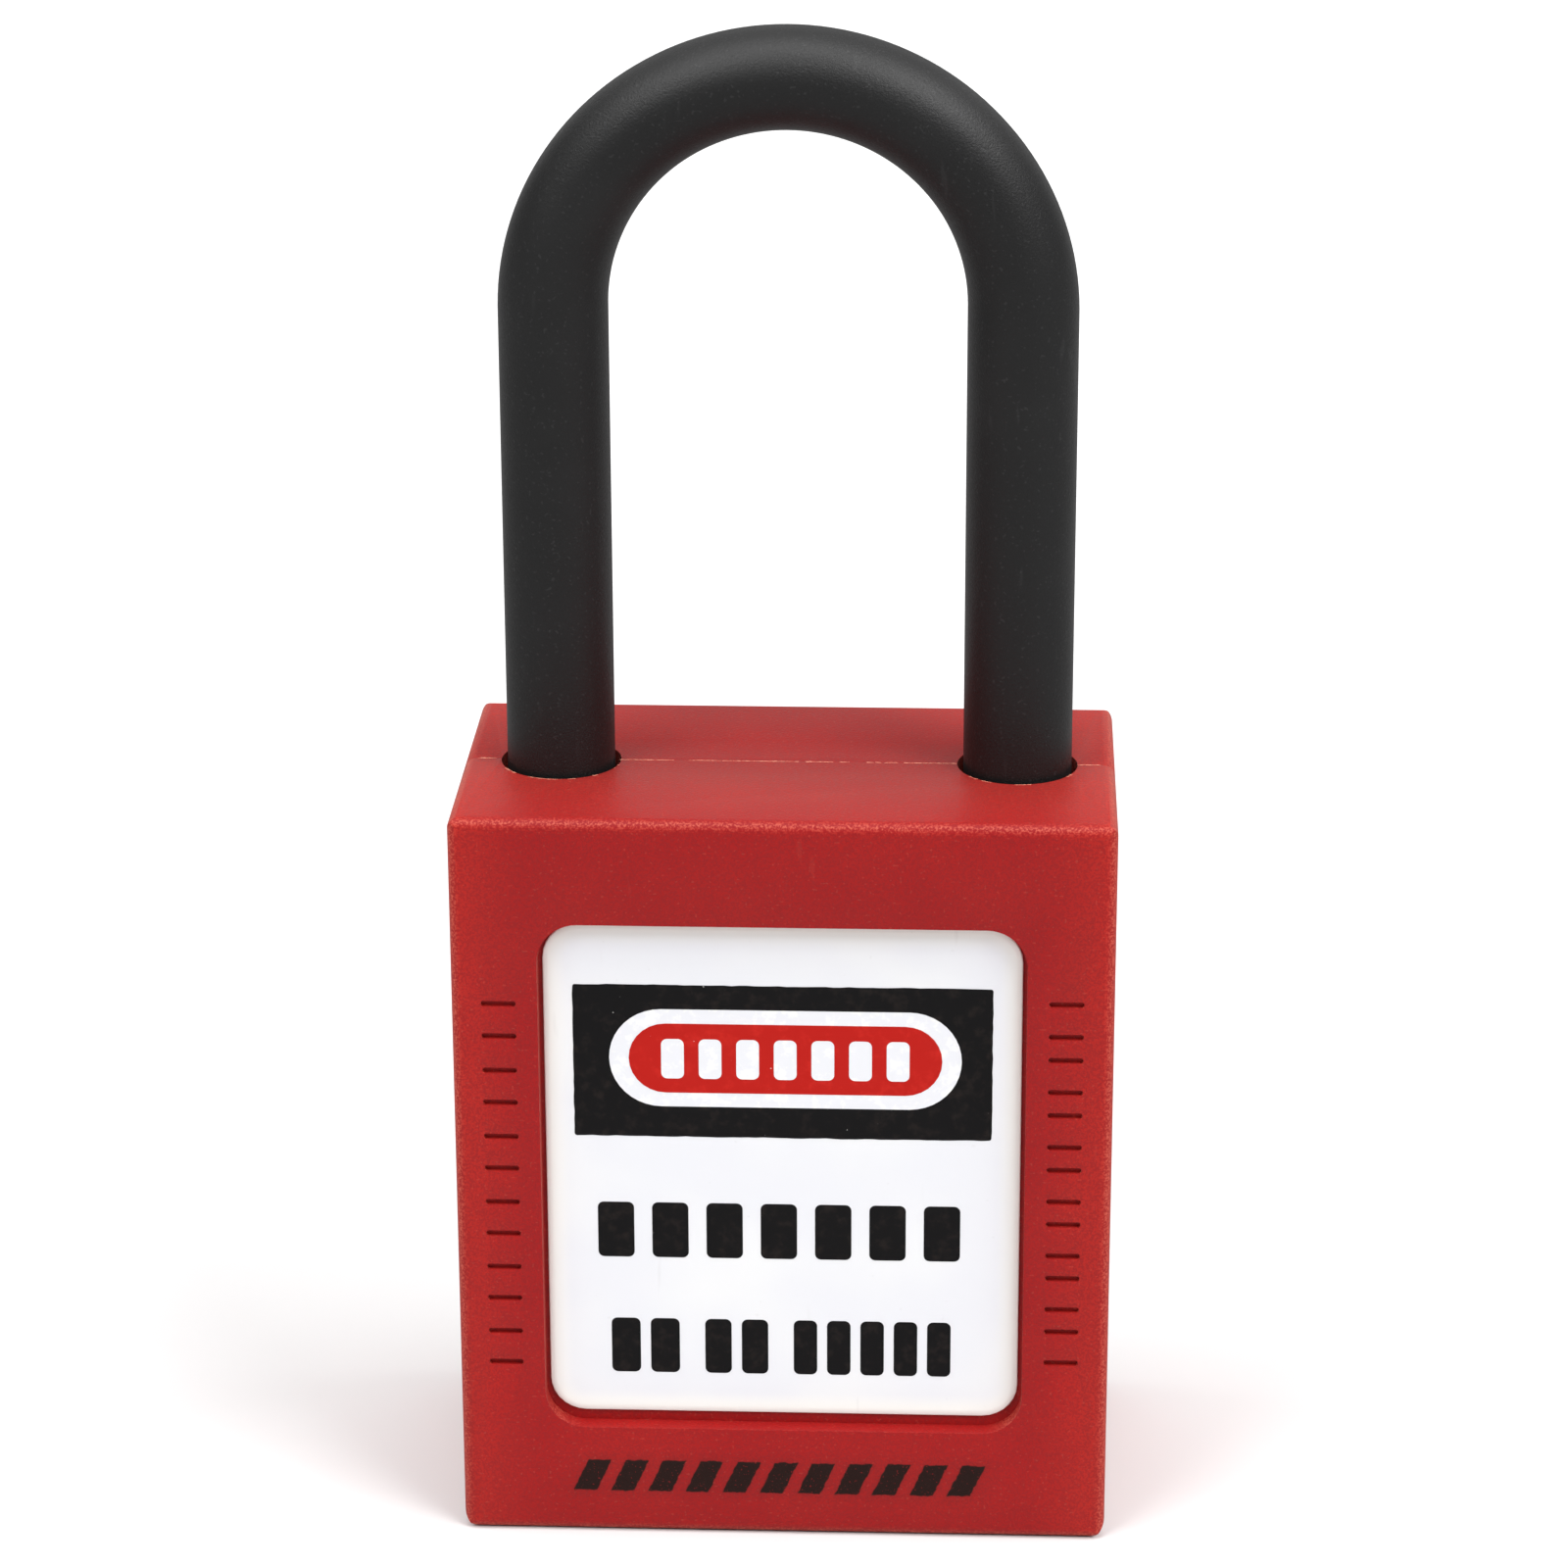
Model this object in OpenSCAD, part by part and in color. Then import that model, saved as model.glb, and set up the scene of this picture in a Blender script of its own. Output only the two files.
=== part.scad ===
// Safety padlock. Two nylon half bodies hold a nylon shackle that lifts,
// a pin tumbler cylinder, and one bolt drawn by a spiral cam on the plug.
// The origin is the centre of the bottom face. +Z points to the shackle and
// the front face looks along -Y. The shackle is down and the bolt is drawn
// back; a quarter turn of the plug throws the bolt into the toe of the shackle.

/* [Body] */
// Width of the body
body_w = 38; // [37:0.5:50]
// Depth of the body, front face to rear face
body_d = 21; // [20.5:0.5:30]
// Height of the body
body_h = 45; // [43:0.5:60]
// Rounding of the long edges
edge_r = 0.75; // [0.4:0.05:1]
// Rounding of the bottom edges
foot_r = 1.2; // [0.6:0.1:2]

/* [Shackle] */
// Diameter of the shackle rod
rod_d = 6.3; // [5:0.1:7.6]
// Distance between the two leg centres
leg_spacing = 26.6; // [22:0.2:29]
// Clear height between the body and the inside of the arch
shackle_clear = 37.4; // [20:0.1:80]
// Clearance around each leg in its hole
leg_clear = 0.35; // [0.1:0.05:0.5]
// Thickness of the toe under the notch for the bolt
toe_lip = 1.7; // [1.2:0.1:2.5]
// How far the toe clears the body when the shackle is lifted
toe_free = 1; // [0.5:0.25:3]
// Diameter of the retaining pin
heel_pin_d = 2; // [1.5:0.1:2.5]

/* [Cylinder] */
// Diameter of the plug
plug_d = 10; // [9:0.2:11.6]
// Wall of the cylinder around the plug
barrel_wall = 1.95; // [1.5:0.05:2.1]
// Width of the tower that holds the driver pins
tower_w = 7.6; // [6:0.2:9.4]
// Number of pin stacks
pin_count = 6; // [3:1:6]
// Distance between two pin stacks
pin_pitch = 3.2; // [3:0.1:3.4]
// Diameter of the tumbler pins
pin_d = 2.7; // [2.2:0.1:2.8]
// Width of the keyway
keyway_w = 1.3; // [1:0.1:1.6]

/* [Bolt and cam] */
// Travel of the bolt
bolt_travel = 2.4; // [2:0.1:2.6]
// Width of the bolt, front to rear
bolt_w = 6; // [4:0.2:7]
// Height of the bolt
bolt_t = 3.5; // [2.5:0.1:4]
// Thickness of the cam disc
cam_disc_t = 2.8; // [2.4:0.1:3]

/* [Label] */
// Width of the recess for the label
recess_w = 28; // [20:0.5:30]
// Height of the recess for the label
recess_h = 31.8; // [20:0.2:34]
// Depth of the recess
recess_depth = 1.1; // [0.6:0.1:1.3]
// Thickness of the label
label_t = 0.2; // [0.1:0.05:0.4]

/* [Hidden] */
key_pin_lengths = [3.2, 2.4, 3.8, 2.8, 3.5, 2.2];
$fn = 64;
over = 1;
slack = 0.15;
running = 0.05;
stop_gap = 0.1;

// Heights of the cylinder stack, from the bottom of the body up
face_recess = 0.5;
plug_face_z = 0.3;
head_t = 1;
head_rim = 0.8;
first_pin_z = 6;
top_land = 7;
plug_r = plug_d / 2;
barrel_r = plug_r + running + barrel_wall;
pin_zs = [for (i = [0:pin_count - 1]) first_pin_z + i * pin_pitch];
barrel_top = first_pin_z + (pin_count - 1) * pin_pitch + top_land;
clip_t = 0.7;
clip_rim = 1.2;
clip_groove = 1;
clip_mouth = 3.1;
clip_z = barrel_top + slack;
clip_land = 1;
land_top = clip_z + clip_t + slack + clip_land;
tang_w = 6;
tang_t = 3;
tang_h = 2.2;
cam_hub_h = tang_h + slack;
cam_r = barrel_r;
cam_top = land_top + cam_hub_h + cam_disc_t;
cavity_r = barrel_r + slack;

// The keyway reaches from the pin side of the plug past its centre, between two wards
keyway_pin_side = 3.4;
keyway_far_side = 3.6;
keyway_end = pin_zs[pin_count - 1] + pin_d;
ward_reach = 0.5;
wards = [[1, 0.2, 1.2], [-1, 2, 2.8]];

// The tower carries the drivers and is clamped by one screw under the toe
pin_r = pin_d / 2;
bore_gap = 0.05;
driver_len = 4;
spring_room = 5.6;
driver_x = plug_r + running;
spring_x = driver_x + driver_len + running;
cover_x = spring_x + spring_room;
cover_t = 0.8;
cover_w = 4;
cover_margin = 2;
screw_r = 1.25;
screw_wall = 1;
toe_x = leg_spacing / 2;
tower_x = max(cover_x + cover_t, toe_x + screw_r + screw_wall);
screw_len = 4.5;
screw_head_r = 2.3;
screw_head_t = 1.8;
hex_r = 1.25;
hex_depth = 1.2;
web_t = 1.2;

// Shackle holes and the levels of the toe and heel
rod_r = rod_d / 2;
hole_r = rod_r + leg_clear;
heel_x = -toe_x;
toe_floor_z = barrel_top + web_t;
arch_z = body_h + shackle_clear - (toe_x - rod_r);
tip_chamfer = 0.5;

// The bolt lies on top of the cam
bolt_z = cam_top + 2 * stop_gap;
bolt_top = bolt_z + bolt_t;
bolt_nose_x = toe_x - hole_r - 2 * stop_gap;
bolt_tail_x = -2.9;
notch_floor_x = bolt_nose_x + bolt_travel + stop_gap;
toe_tip_z = bolt_z - slack - toe_lip;
lift = body_h - toe_tip_z + toe_free;

// The heel: foot, turned neck and flat, stopped by the retaining pin
heel_pin_r = heel_pin_d / 2;
neck_r = 1.85;
neck_h = heel_pin_d + 2 * stop_gap;
foot_t = 3.4;
heel_pin_drop = 15;
heel_pin_z = body_h - heel_pin_drop;
heel_pin_len = 12;
heel_pin_x = heel_x + neck_r + running + heel_pin_r;
foot_top_z = heel_pin_z - heel_pin_r - stop_gap - lift;
heel_tip_z = foot_top_z - foot_t;
heel_floor_z = 5;

// Lift spring under the heel, and the pin springs
lift_wire = 0.7;
lift_coil_d = 5.6;
lift_turns = 6;
pin_wire = 0.34;
pin_coil_d = pin_d - 0.3;
pin_turns = 5;

// Spiral slot of the cam: the bolt pin climbs by the bolt's travel in 90 degrees
bolt_pin_r = 0.75;
slot_r0 = 3.2;
slot_half = bolt_pin_r + running;
slot_end = 4;
slot_depth = 2.1;
slot_gap = 0.2;
cam_screw_r = 1;
cam_head_r = 1.75;
cam_head_t = 0.8;
cam_head_pocket = 1.1;
cam_screw_len = 8;
cam_seat_z = cam_top - cam_head_pocket;
cam_screw_z = cam_seat_z - cam_screw_len;
driver_slot = 0.5;

// Pegs that line up the two halves
peg_r = 1;
peg_len = 2;
peg_spread = 5;
peg_low = 8;
peg_high = 21;

// Label recess, and the two columns of finger grooves beside it
recess_z = 22.8;
recess_corner = 2.35;
label_side = 0.25;
label_foot = 0.7;
groove_inset = 2.75;
groove_w = 2;
groove_t = 0.36;
groove_round = 0.16;
groove_depth = 0.3;
left_marks = 6;
left_z = [12.1, 32.8];
right_marks = 7;
right_z = [12.6, 33.2];
mark_split = 1;

// ---- helpers ----

// A straight bore or rod along Z between two heights
module rod(r, z0, z1) {
    translate([0, 0, z0]) cylinder(r = r, h = z1 - z0);
}

// A block between two corners
module block(low, high) {
    translate(low) cube(high - low);
}

// A rounded rectangle from exact squares and circles
module plate(w, h, r) {
    square([w - 2 * r, h], center = true);
    square([w, h - 2 * r], center = true);
    for (x = [-1, 1]) for (y = [-1, 1])
        translate([x * (w / 2 - r), y * (h / 2 - r)]) circle(r);
}

// A flat shape drawn as seen from the front, cut or raised between two depths
module front_slab(y0, y1) {
    translate([0, y1, 0]) rotate([90, 0, 0]) linear_extrude(y1 - y0) children();
}

// A coil spring along +Z with closed ends, as one swept tube
function coil_z(t, turns, len, wire) =
    let (closed = 0.75, n = t * turns, free = turns - 2 * closed)
    let (rise = len - wire * (1 + 2 * closed))
    n < closed ? wire * (0.5 + n)
    : n > turns - closed ? len - wire * (0.5 + turns - n)
    : wire * (0.5 + closed) + rise * (n - closed) / free;

module coil(d, wire, len, turns, steps, sides) {
    r = (d - wire) / 2;
    n = turns * steps;
    rings = [for (i = [0:n]) let (a = 360 * i / steps, z = coil_z(i / n, turns, len, wire))
        for (k = [0:sides - 1]) let (b = 360 * k / sides, q = r + wire / 2 * cos(b))
            [q * cos(a), q * sin(a), z + wire / 2 * sin(b)]];
    walls = [for (i = [0:n - 1]) for (k = [0:sides - 1]) let (k2 = (k + 1) % sides)
        each [[i * sides + k, (i + 1) * sides + k, (i + 1) * sides + k2],
              [i * sides + k, (i + 1) * sides + k2, i * sides + k2]]];
    foot = [for (k = [0:sides - 1]) k];
    tip = [for (k = [0:sides - 1]) n * sides + sides - 1 - k];
    polyhedron(rings, concat(walls, [foot, tip]));
}

// ---- body shells ----

// A flat shape from v0 to v1 with its two lower corners rounded by r0 and its upper by r1
module rounded(w, v0, v1, r0, r1) {
    translate([-w / 2, v0 + r0]) square([w, v1 - v0 - r0 - r1]);
    for (end = [[v0, v0 + r0, r0], [v1 - r1, v1 - r1, r1]]) {
        translate([end[2] - w / 2, end[0]]) square([w - 2 * end[2], end[2]]);
        for (x = [-1, 1]) translate([x * (w / 2 - end[2]), end[1]]) circle(end[2]);
    }
}

// The outside of the front half: flat at the seam, rounded everywhere else
module half_outside() {
    intersection() {
        front_slab(-body_d / 2, 0) rounded(body_w, 0, body_h, foot_r, edge_r);
        translate([-body_w / 2, 0, 0]) rotate([90, 0, 90])
            linear_extrude(body_w) rounded(body_d, 0, body_h, edge_r, edge_r);
        linear_extrude(body_h) rounded(body_w, -body_d / 2, body_d / 2, edge_r, edge_r);
    }
}

// Everything that is hollow inside the body
module cavities() {
    rod(cavity_r, -over, cam_top + slack);
    block([0, -tower_w / 2 - slack, -over], [tower_x + slack, tower_w / 2 + slack, barrel_top]);
    translate([toe_x, 0, 0]) rod(hole_r, toe_floor_z, body_h + over);
    translate([toe_x, 0, 0]) rod(screw_r + slack, barrel_top - over, toe_floor_z + over);
    translate([heel_x, 0, 0]) rod(hole_r, heel_floor_z, body_h + over);
    block([bolt_tail_x - slack, -bolt_w / 2 - running, bolt_z - running],
          [toe_x, bolt_w / 2 + running, bolt_top + running]);
    translate([heel_pin_x, heel_pin_len / 2, heel_pin_z]) rotate([90, 0, 0])
        cylinder(r = heel_pin_r, h = heel_pin_len);
}

// The pegs of the front half; a little wider and longer they cut their sockets
module pegs(gap) {
    wall_x = (tower_x + slack + body_w / 2) / 2;
    wall_r = min(peg_r, (body_w / 2 - tower_x - slack) / 4);
    top_z = (bolt_top + body_h) / 2;
    for (p = [[-peg_spread, top_z, peg_r], [peg_spread, top_z, peg_r],
              [heel_x, heel_floor_z / 2, peg_r],
              [wall_x, peg_low, wall_r], [wall_x, peg_high, wall_r]])
        translate([p[0], 0, p[1]]) rotate([-90, 0, 0])
            translate([0, 0, -over]) cylinder(r = p[2] + gap, h = peg_len + over + gap);
}

// Pairs of fine grooves, one column on each side of the label
module groove_columns() {
    for (side = [[-1, left_marks, left_z], [1, right_marks, right_z]])
        for (i = [0:side[1] - 1]) for (k = [-1, 1])
            translate([side[0] * (body_w / 2 - groove_inset),
                       side[2][0] + i * (side[2][1] - side[2][0]) / (side[1] - 1) + k * mark_split])
                plate(groove_w, groove_t, groove_round);
}

module label_recess() {
    front_slab(-body_d / 2 - over, -body_d / 2 + recess_depth)
        translate([0, recess_z]) plate(recess_w, recess_h, recess_corner);
}

module front_shell() {
    color("#b22a2b") difference() {
        union() {
            difference() {
                half_outside();
                cavities();
            }
            pegs(0);
        }
        label_recess();
        front_slab(-body_d / 2 - over, -body_d / 2 + groove_depth) groove_columns();
    }
}

module rear_shell() {
    color("#b22a2b") difference() {
        mirror([0, 1, 0]) half_outside();
        cavities();
        pegs(running);
        mirror([0, 1, 0]) label_recess();
    }
}

// The label lies on the floor of its recess
module label() {
    w = recess_w - 2 * label_side;
    h = recess_h - label_side - label_foot;
    y = -body_d / 2 + recess_depth;
    front_slab(y - label_t, y)
        translate([0, recess_z + (label_foot - label_side) / 2]) plate(w, h, recess_corner - label_side);
}

module front_label() {
    color("#f0f0f2") label();
}

module rear_label() {
    color("#f0f0f2") mirror([0, 1, 0]) label();
}

// ---- shackle ----

// The leg's end, with a small chamfer at the tip
module leg(z0) {
    rotate_extrude() polygon([[0, z0], [rod_r - tip_chamfer, z0], [rod_r, z0 + tip_chamfer],
                              [rod_r, arch_z], [0, arch_z]]);
}

module shackle() {
    color("#2e2e30") difference() {
        union() {
            translate([0, 0, arch_z]) rotate([90, 0, 0]) rotate_extrude(angle = 180)
                translate([toe_x, 0]) circle(rod_r);
            translate([toe_x, 0, 0]) leg(toe_tip_z);
            translate([heel_x, 0, 0]) leg(heel_tip_z);
        }
        block([toe_x - rod_r - over, -rod_d, bolt_z - slack], [notch_floor_x, rod_d, bolt_top + slack]);
        translate([heel_x, 0, foot_top_z]) difference() {
            cylinder(r = rod_r + over, h = neck_h);
            translate([0, 0, -over]) cylinder(r = neck_r, h = neck_h + 2 * over);
        }
        block([heel_x + neck_r, -rod_d, foot_top_z],
              [heel_x + rod_r + over, rod_d, heel_pin_z + heel_pin_r + slack]);
    }
}

module heel_pin() {
    color("silver") translate([heel_pin_x, heel_pin_len / 2, heel_pin_z]) rotate([90, 0, 0])
        cylinder(r = heel_pin_r, h = heel_pin_len);
}

module lift_spring() {
    color("silver") translate([heel_x, 0, heel_floor_z])
        coil(lift_coil_d, lift_wire, heel_tip_z - heel_floor_z, lift_turns, 14, 6);
}

// ---- cylinder ----

// The housing: a round barrel for the plug and a tower for the pin stacks
module cylinder_housing() {
    color("#c9a04c") difference() {
        union() {
            rod(barrel_r, face_recess, barrel_top);
            block([0, -tower_w / 2, face_recess], [tower_x, tower_w / 2, barrel_top]);
        }
        rod(plug_r + running, -over, barrel_top + over);
        rod(plug_r + head_rim + running, -over, plug_face_z + head_t + running);
        for (z = pin_zs) translate([0, 0, z]) rotate([0, 90, 0]) rod(pin_r + bore_gap, 0, cover_x + over);
        block([cover_x, -cover_w / 2, pin_zs[0] - cover_margin],
              [tower_x + over, cover_w / 2, pin_zs[pin_count - 1] + cover_margin]);
        translate([toe_x, 0, 0]) rod(screw_r, barrel_top - screw_len, barrel_top + over);
    }
}

module chamber_cover() {
    color("#b8923f") block([cover_x, -cover_w / 2, pin_zs[0] - cover_margin],
        [cover_x + cover_t, cover_w / 2, pin_zs[pin_count - 1] + cover_margin]);
}

module cylinder_screw() {
    head_top = toe_floor_z + screw_head_t;
    color("silver") translate([toe_x, 0, 0]) difference() {
        union() {
            rod(screw_r, barrel_top - screw_len, head_top - hex_depth);
            rod(screw_head_r, toe_floor_z, head_top);
        }
        translate([0, 0, head_top - hex_depth]) cylinder(r = hex_r, h = screw_head_t, $fn = 6);
    }
}

// The slot for the key, with a ward on each side
module keyway() {
    difference() {
        block([-keyway_w / 2, -keyway_pin_side, -over], [keyway_w / 2, keyway_far_side, keyway_end]);
        for (w = wards) {
            near = keyway_w / 2 - ward_reach;
            block([min(w[0] * near, w[0] * keyway_w), w[1], -2 * over],
                  [max(w[0] * near, w[0] * keyway_w), w[2], barrel_top]);
        }
    }
}

// The plug, with its pin holes towards the front while the bolt is drawn back
module plug() {
    color("#d2b469") difference() {
        union() {
            rod(plug_r, plug_face_z, land_top);
            rod(plug_r + head_rim, plug_face_z, plug_face_z + head_t);
            block([-tang_w / 2, -tang_t / 2, land_top - over], [tang_w / 2, tang_t / 2, land_top + tang_h]);
        }
        difference() {
            rod(plug_r + over, clip_z, clip_z + clip_t);
            rod(plug_r - clip_groove, clip_z - over, clip_z + clip_t + over);
        }
        keyway();
        for (z = pin_zs) translate([0, 0, z]) rotate([90, 0, 0]) rod(pin_r + bore_gap, 0, plug_r + over);
        rod(cam_screw_r, cam_screw_z, land_top + tang_h + over);
    }
}

module plug_clip() {
    color("silver") difference() {
        rod(plug_r + clip_rim, clip_z, clip_z + clip_t);
        rod(plug_r - clip_groove, clip_z - over, clip_z + clip_t + over);
        block([-plug_d, -clip_mouth, clip_z - over], [0, clip_mouth, clip_z + clip_t + over]);
    }
}

// One key pin: flat at the shear line, pointed towards the key
module key_pin(i) {
    len = key_pin_lengths[i];
    top = sqrt(pow(plug_r - running, 2) - pow(pin_r, 2)) - running;
    tip_flat = pin_r / 3;
    tip_len = pin_r * 0.7;
    color("#d8b25c") translate([0, 0, pin_zs[i]]) rotate([90, 0, 0]) rotate_extrude()
        polygon([[0, top - len], [tip_flat, top - len], [pin_r, top - len + tip_len],
                 [pin_r, top], [0, top]]);
}

// One driver pin: it waits on the plug, pushed by its spring
module driver_pin(i) {
    bevel = 0.25;
    color("#b9bcc0") translate([driver_x, 0, pin_zs[i]]) rotate([0, 90, 0]) rotate_extrude()
        polygon([[0, 0], [pin_r - bevel, 0], [pin_r, bevel], [pin_r, driver_len - bevel],
                 [pin_r - bevel, driver_len], [0, driver_len]]);
}

module pin_spring(i) {
    color("silver") translate([spring_x, 0, pin_zs[i]]) rotate([0, 90, 0])
        coil(pin_coil_d, pin_wire, spring_room - running, pin_turns, 10, 5);
}

// ---- cam and bolt ----

// Centre line of the spiral slot at angle a, and its direction across
function slot_at(a) = slot_r0 + bolt_travel * -a / 90;
function slot_point(a, side) =
    let (r = slot_at(a), k = -bolt_travel / 90 * 180 / PI)
    let (n = [r * cos(a) + k * sin(a), r * sin(a) - k * cos(a)])
    r * [cos(a), sin(a)] + side * slot_half * n / norm(n);

module slot_shape() {
    step = 2;
    first = slot_end;
    last = -90 - slot_end;
    polygon(concat([for (a = [first:-step:last]) slot_point(a, 1)],
                   [for (a = [last:step:first]) slot_point(a, -1)]));
    for (a = [first, last]) translate(slot_at(a) * [cos(a), sin(a)]) circle(slot_half);
}

module cam() {
    color("#a9abb0") difference() {
        union() {
            rod(plug_r, land_top, land_top + cam_hub_h);
            rod(cam_r, land_top + cam_hub_h, cam_top);
        }
        block([-tang_w / 2 - running, -tang_t / 2 - running, land_top - over],
              [tang_w / 2 + running, tang_t / 2 + running, land_top + tang_h + running]);
        rod(cam_screw_r + slack, land_top, cam_top + over);
        rod(cam_head_r + slack, cam_seat_z, cam_top + over);
        translate([0, 0, cam_top - slot_depth]) linear_extrude(slot_depth + over) slot_shape();
    }
}

module cam_screw() {
    slot_floor = cam_seat_z + cam_head_t / 2;
    color("silver") difference() {
        union() {
            rod(cam_screw_r, cam_screw_z, slot_floor);
            rod(cam_head_r, cam_seat_z, cam_seat_z + cam_head_t);
        }
        block([-cam_head_r - over, -driver_slot / 2, slot_floor],
              [cam_head_r + over, driver_slot / 2, cam_top]);
    }
}

module locking_bolt() {
    color("#bfc2c6") difference() {
        block([bolt_tail_x, -bolt_w / 2, bolt_z], [bolt_nose_x, bolt_w / 2, bolt_top]);
        translate([slot_r0, 0, 0]) rod(bolt_pin_r, bolt_z - over, bolt_top + over);
    }
}

module bolt_pin() {
    color("silver") translate([slot_r0, 0, 0]) rod(bolt_pin_r, cam_top - slot_depth + slot_gap, bolt_top);
}

front_shell();
rear_shell();
shackle();
front_label();
rear_label();
cylinder_housing();
chamber_cover();
plug();
plug_clip();
cam();
cam_screw();
locking_bolt();
bolt_pin();
lift_spring();
heel_pin();
cylinder_screw();
for (i = [0:pin_count - 1]) {
    key_pin(i);
    driver_pin(i);
    pin_spring(i);
}
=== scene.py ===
import math

import bmesh
import bpy
import numpy as np
from mathutils import Matrix, Vector, noise


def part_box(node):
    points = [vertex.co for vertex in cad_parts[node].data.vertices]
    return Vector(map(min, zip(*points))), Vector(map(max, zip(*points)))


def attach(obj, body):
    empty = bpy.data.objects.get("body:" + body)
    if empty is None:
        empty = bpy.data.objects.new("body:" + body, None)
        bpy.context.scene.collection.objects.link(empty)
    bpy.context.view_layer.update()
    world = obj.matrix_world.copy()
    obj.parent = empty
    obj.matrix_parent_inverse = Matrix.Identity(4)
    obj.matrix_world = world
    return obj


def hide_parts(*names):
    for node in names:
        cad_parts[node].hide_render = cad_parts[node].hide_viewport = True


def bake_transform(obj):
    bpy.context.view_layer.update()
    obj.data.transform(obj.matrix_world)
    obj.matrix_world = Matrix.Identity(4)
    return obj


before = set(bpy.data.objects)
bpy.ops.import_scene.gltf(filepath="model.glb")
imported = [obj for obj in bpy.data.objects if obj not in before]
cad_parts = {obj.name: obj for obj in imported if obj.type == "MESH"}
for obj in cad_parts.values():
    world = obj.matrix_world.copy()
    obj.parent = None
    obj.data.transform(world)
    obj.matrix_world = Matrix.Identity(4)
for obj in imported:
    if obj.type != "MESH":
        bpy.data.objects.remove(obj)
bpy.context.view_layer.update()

MM = 0.001


# ---- Studio ----
# The lock stands on white paper under a row of soft lamps: three overhead for the bow of
# the shackle, a key over the front right corner, a weaker fill over the front left one, a
# wide glow behind, and one under the table that only the lock's underside sees.

AIM = Vector((-0.30, 0.0, 43.6)) * MM
CAMERA_DISTANCE = 290.5 * MM
CAMERA_YAW, CAMERA_PITCH, CAMERA_ROLL = (math.radians(a) for a in (-2.56, 19.83, -0.18))
SENSOR = 36.0
LENS = 114.2
ROOM_GLOW = 0.12
CLIP_NEAR, CLIP_FAR = 0.01, 20
FLOOR_HALF = 4.0
# Half the opening's width and depth: less than the lock's foot, and the underside shows.
FLOOR_OPENING = (17 * MM, 9 * MM)
FLOOR_HEIGHT = 0.01 * MM
FLOOR_ROUGHNESS = 0.9
FLOOR_WHITE = (0.74, 0.74, 0.74)
FLOOR_IN_GLOSS = (0.26, 0.26, 0.26)
# Each lamp's name, azimuth from the front, elevation, spread in degrees and strength.
LAMPS = (
    ("lamp_top", 0, 84, 30, 1.25),
    ("lamp_top_left", -80, 58, 34, 0.75),
    ("lamp_top_right", 80, 52, 34, 1.10),
    ("lamp_right", 48, 43, 24, 1.45),
    ("lamp_left", -42, 45, 24, 1.10),
    ("lamp_back", 176, 30, 100, 1.00),
    ("lamp_below", 0, -70, 60, 2.50),
)


def link_mesh(name, mesh):
    """A new object in the scene with this mesh, at the origin."""
    piece = bpy.data.objects.new(name, mesh)
    bpy.context.scene.collection.objects.link(piece)
    return piece


def plain_material(name, colour, roughness):
    """A material of one colour, to be built on or used as it is."""
    material = bpy.data.materials.new(name)
    material.use_nodes = True
    shader = material.node_tree.nodes["Principled BSDF"]
    shader.inputs["Base Color"].default_value = (*colour, 1)
    shader.inputs["Roughness"].default_value = roughness
    return material


def place_camera():
    """A camera that looks at AIM from the front and a little above."""
    forward = Vector((math.sin(CAMERA_YAW) * math.cos(CAMERA_PITCH),
                      math.cos(CAMERA_YAW) * math.cos(CAMERA_PITCH), -math.sin(CAMERA_PITCH)))
    level = Vector((math.cos(CAMERA_YAW), -math.sin(CAMERA_YAW), 0))
    upright = level.cross(forward)
    right = level * math.cos(CAMERA_ROLL) + upright * math.sin(CAMERA_ROLL)
    up = upright * math.cos(CAMERA_ROLL) - level * math.sin(CAMERA_ROLL)
    data = bpy.data.cameras.new("camera")
    data.lens, data.sensor_width = LENS, SENSOR
    data.clip_start, data.clip_end = CLIP_NEAR, CLIP_FAR
    camera = bpy.data.objects.new("camera", data)
    turn = Matrix((right, up, -forward)).transposed().to_4x4()
    camera.matrix_world = Matrix.Translation(AIM - forward * CAMERA_DISTANCE) @ turn
    bpy.context.scene.collection.objects.link(camera)
    bpy.context.scene.camera = camera


def soft_lamp(name, azimuth, elevation, spread, strength):
    """A wide far lamp, seen from the lock at azimuth from the front and elevation."""
    data = bpy.data.lights.new(name, "SUN")
    data.angle, data.energy = math.radians(spread), strength
    a, e = math.radians(azimuth), math.radians(elevation)
    towards = Vector((math.sin(a) * math.cos(e), -math.cos(a) * math.cos(e), math.sin(e)))
    lamp = bpy.data.objects.new(name, data)
    lamp.rotation_euler = towards.to_track_quat("Z", "Y").to_euler()
    bpy.context.scene.collection.objects.link(lamp)


def light_room():
    """A world that is white to the camera and gives the lock only a weak glow."""
    room = bpy.data.worlds.new("room")
    room.use_nodes = True
    backdrop = room.node_tree.nodes["Background"]
    backdrop.inputs["Color"].default_value = (1, 1, 1, 1)
    path = room.node_tree.nodes.new("ShaderNodeLightPath")
    glow = room.node_tree.nodes.new("ShaderNodeMath")
    glow.operation = "MAXIMUM"
    glow.inputs[1].default_value = ROOM_GLOW
    room.node_tree.links.new(path.outputs["Is Camera Ray"], glow.inputs[0])
    room.node_tree.links.new(glow.outputs[0], backdrop.inputs["Strength"])
    bpy.context.scene.world = room


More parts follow.
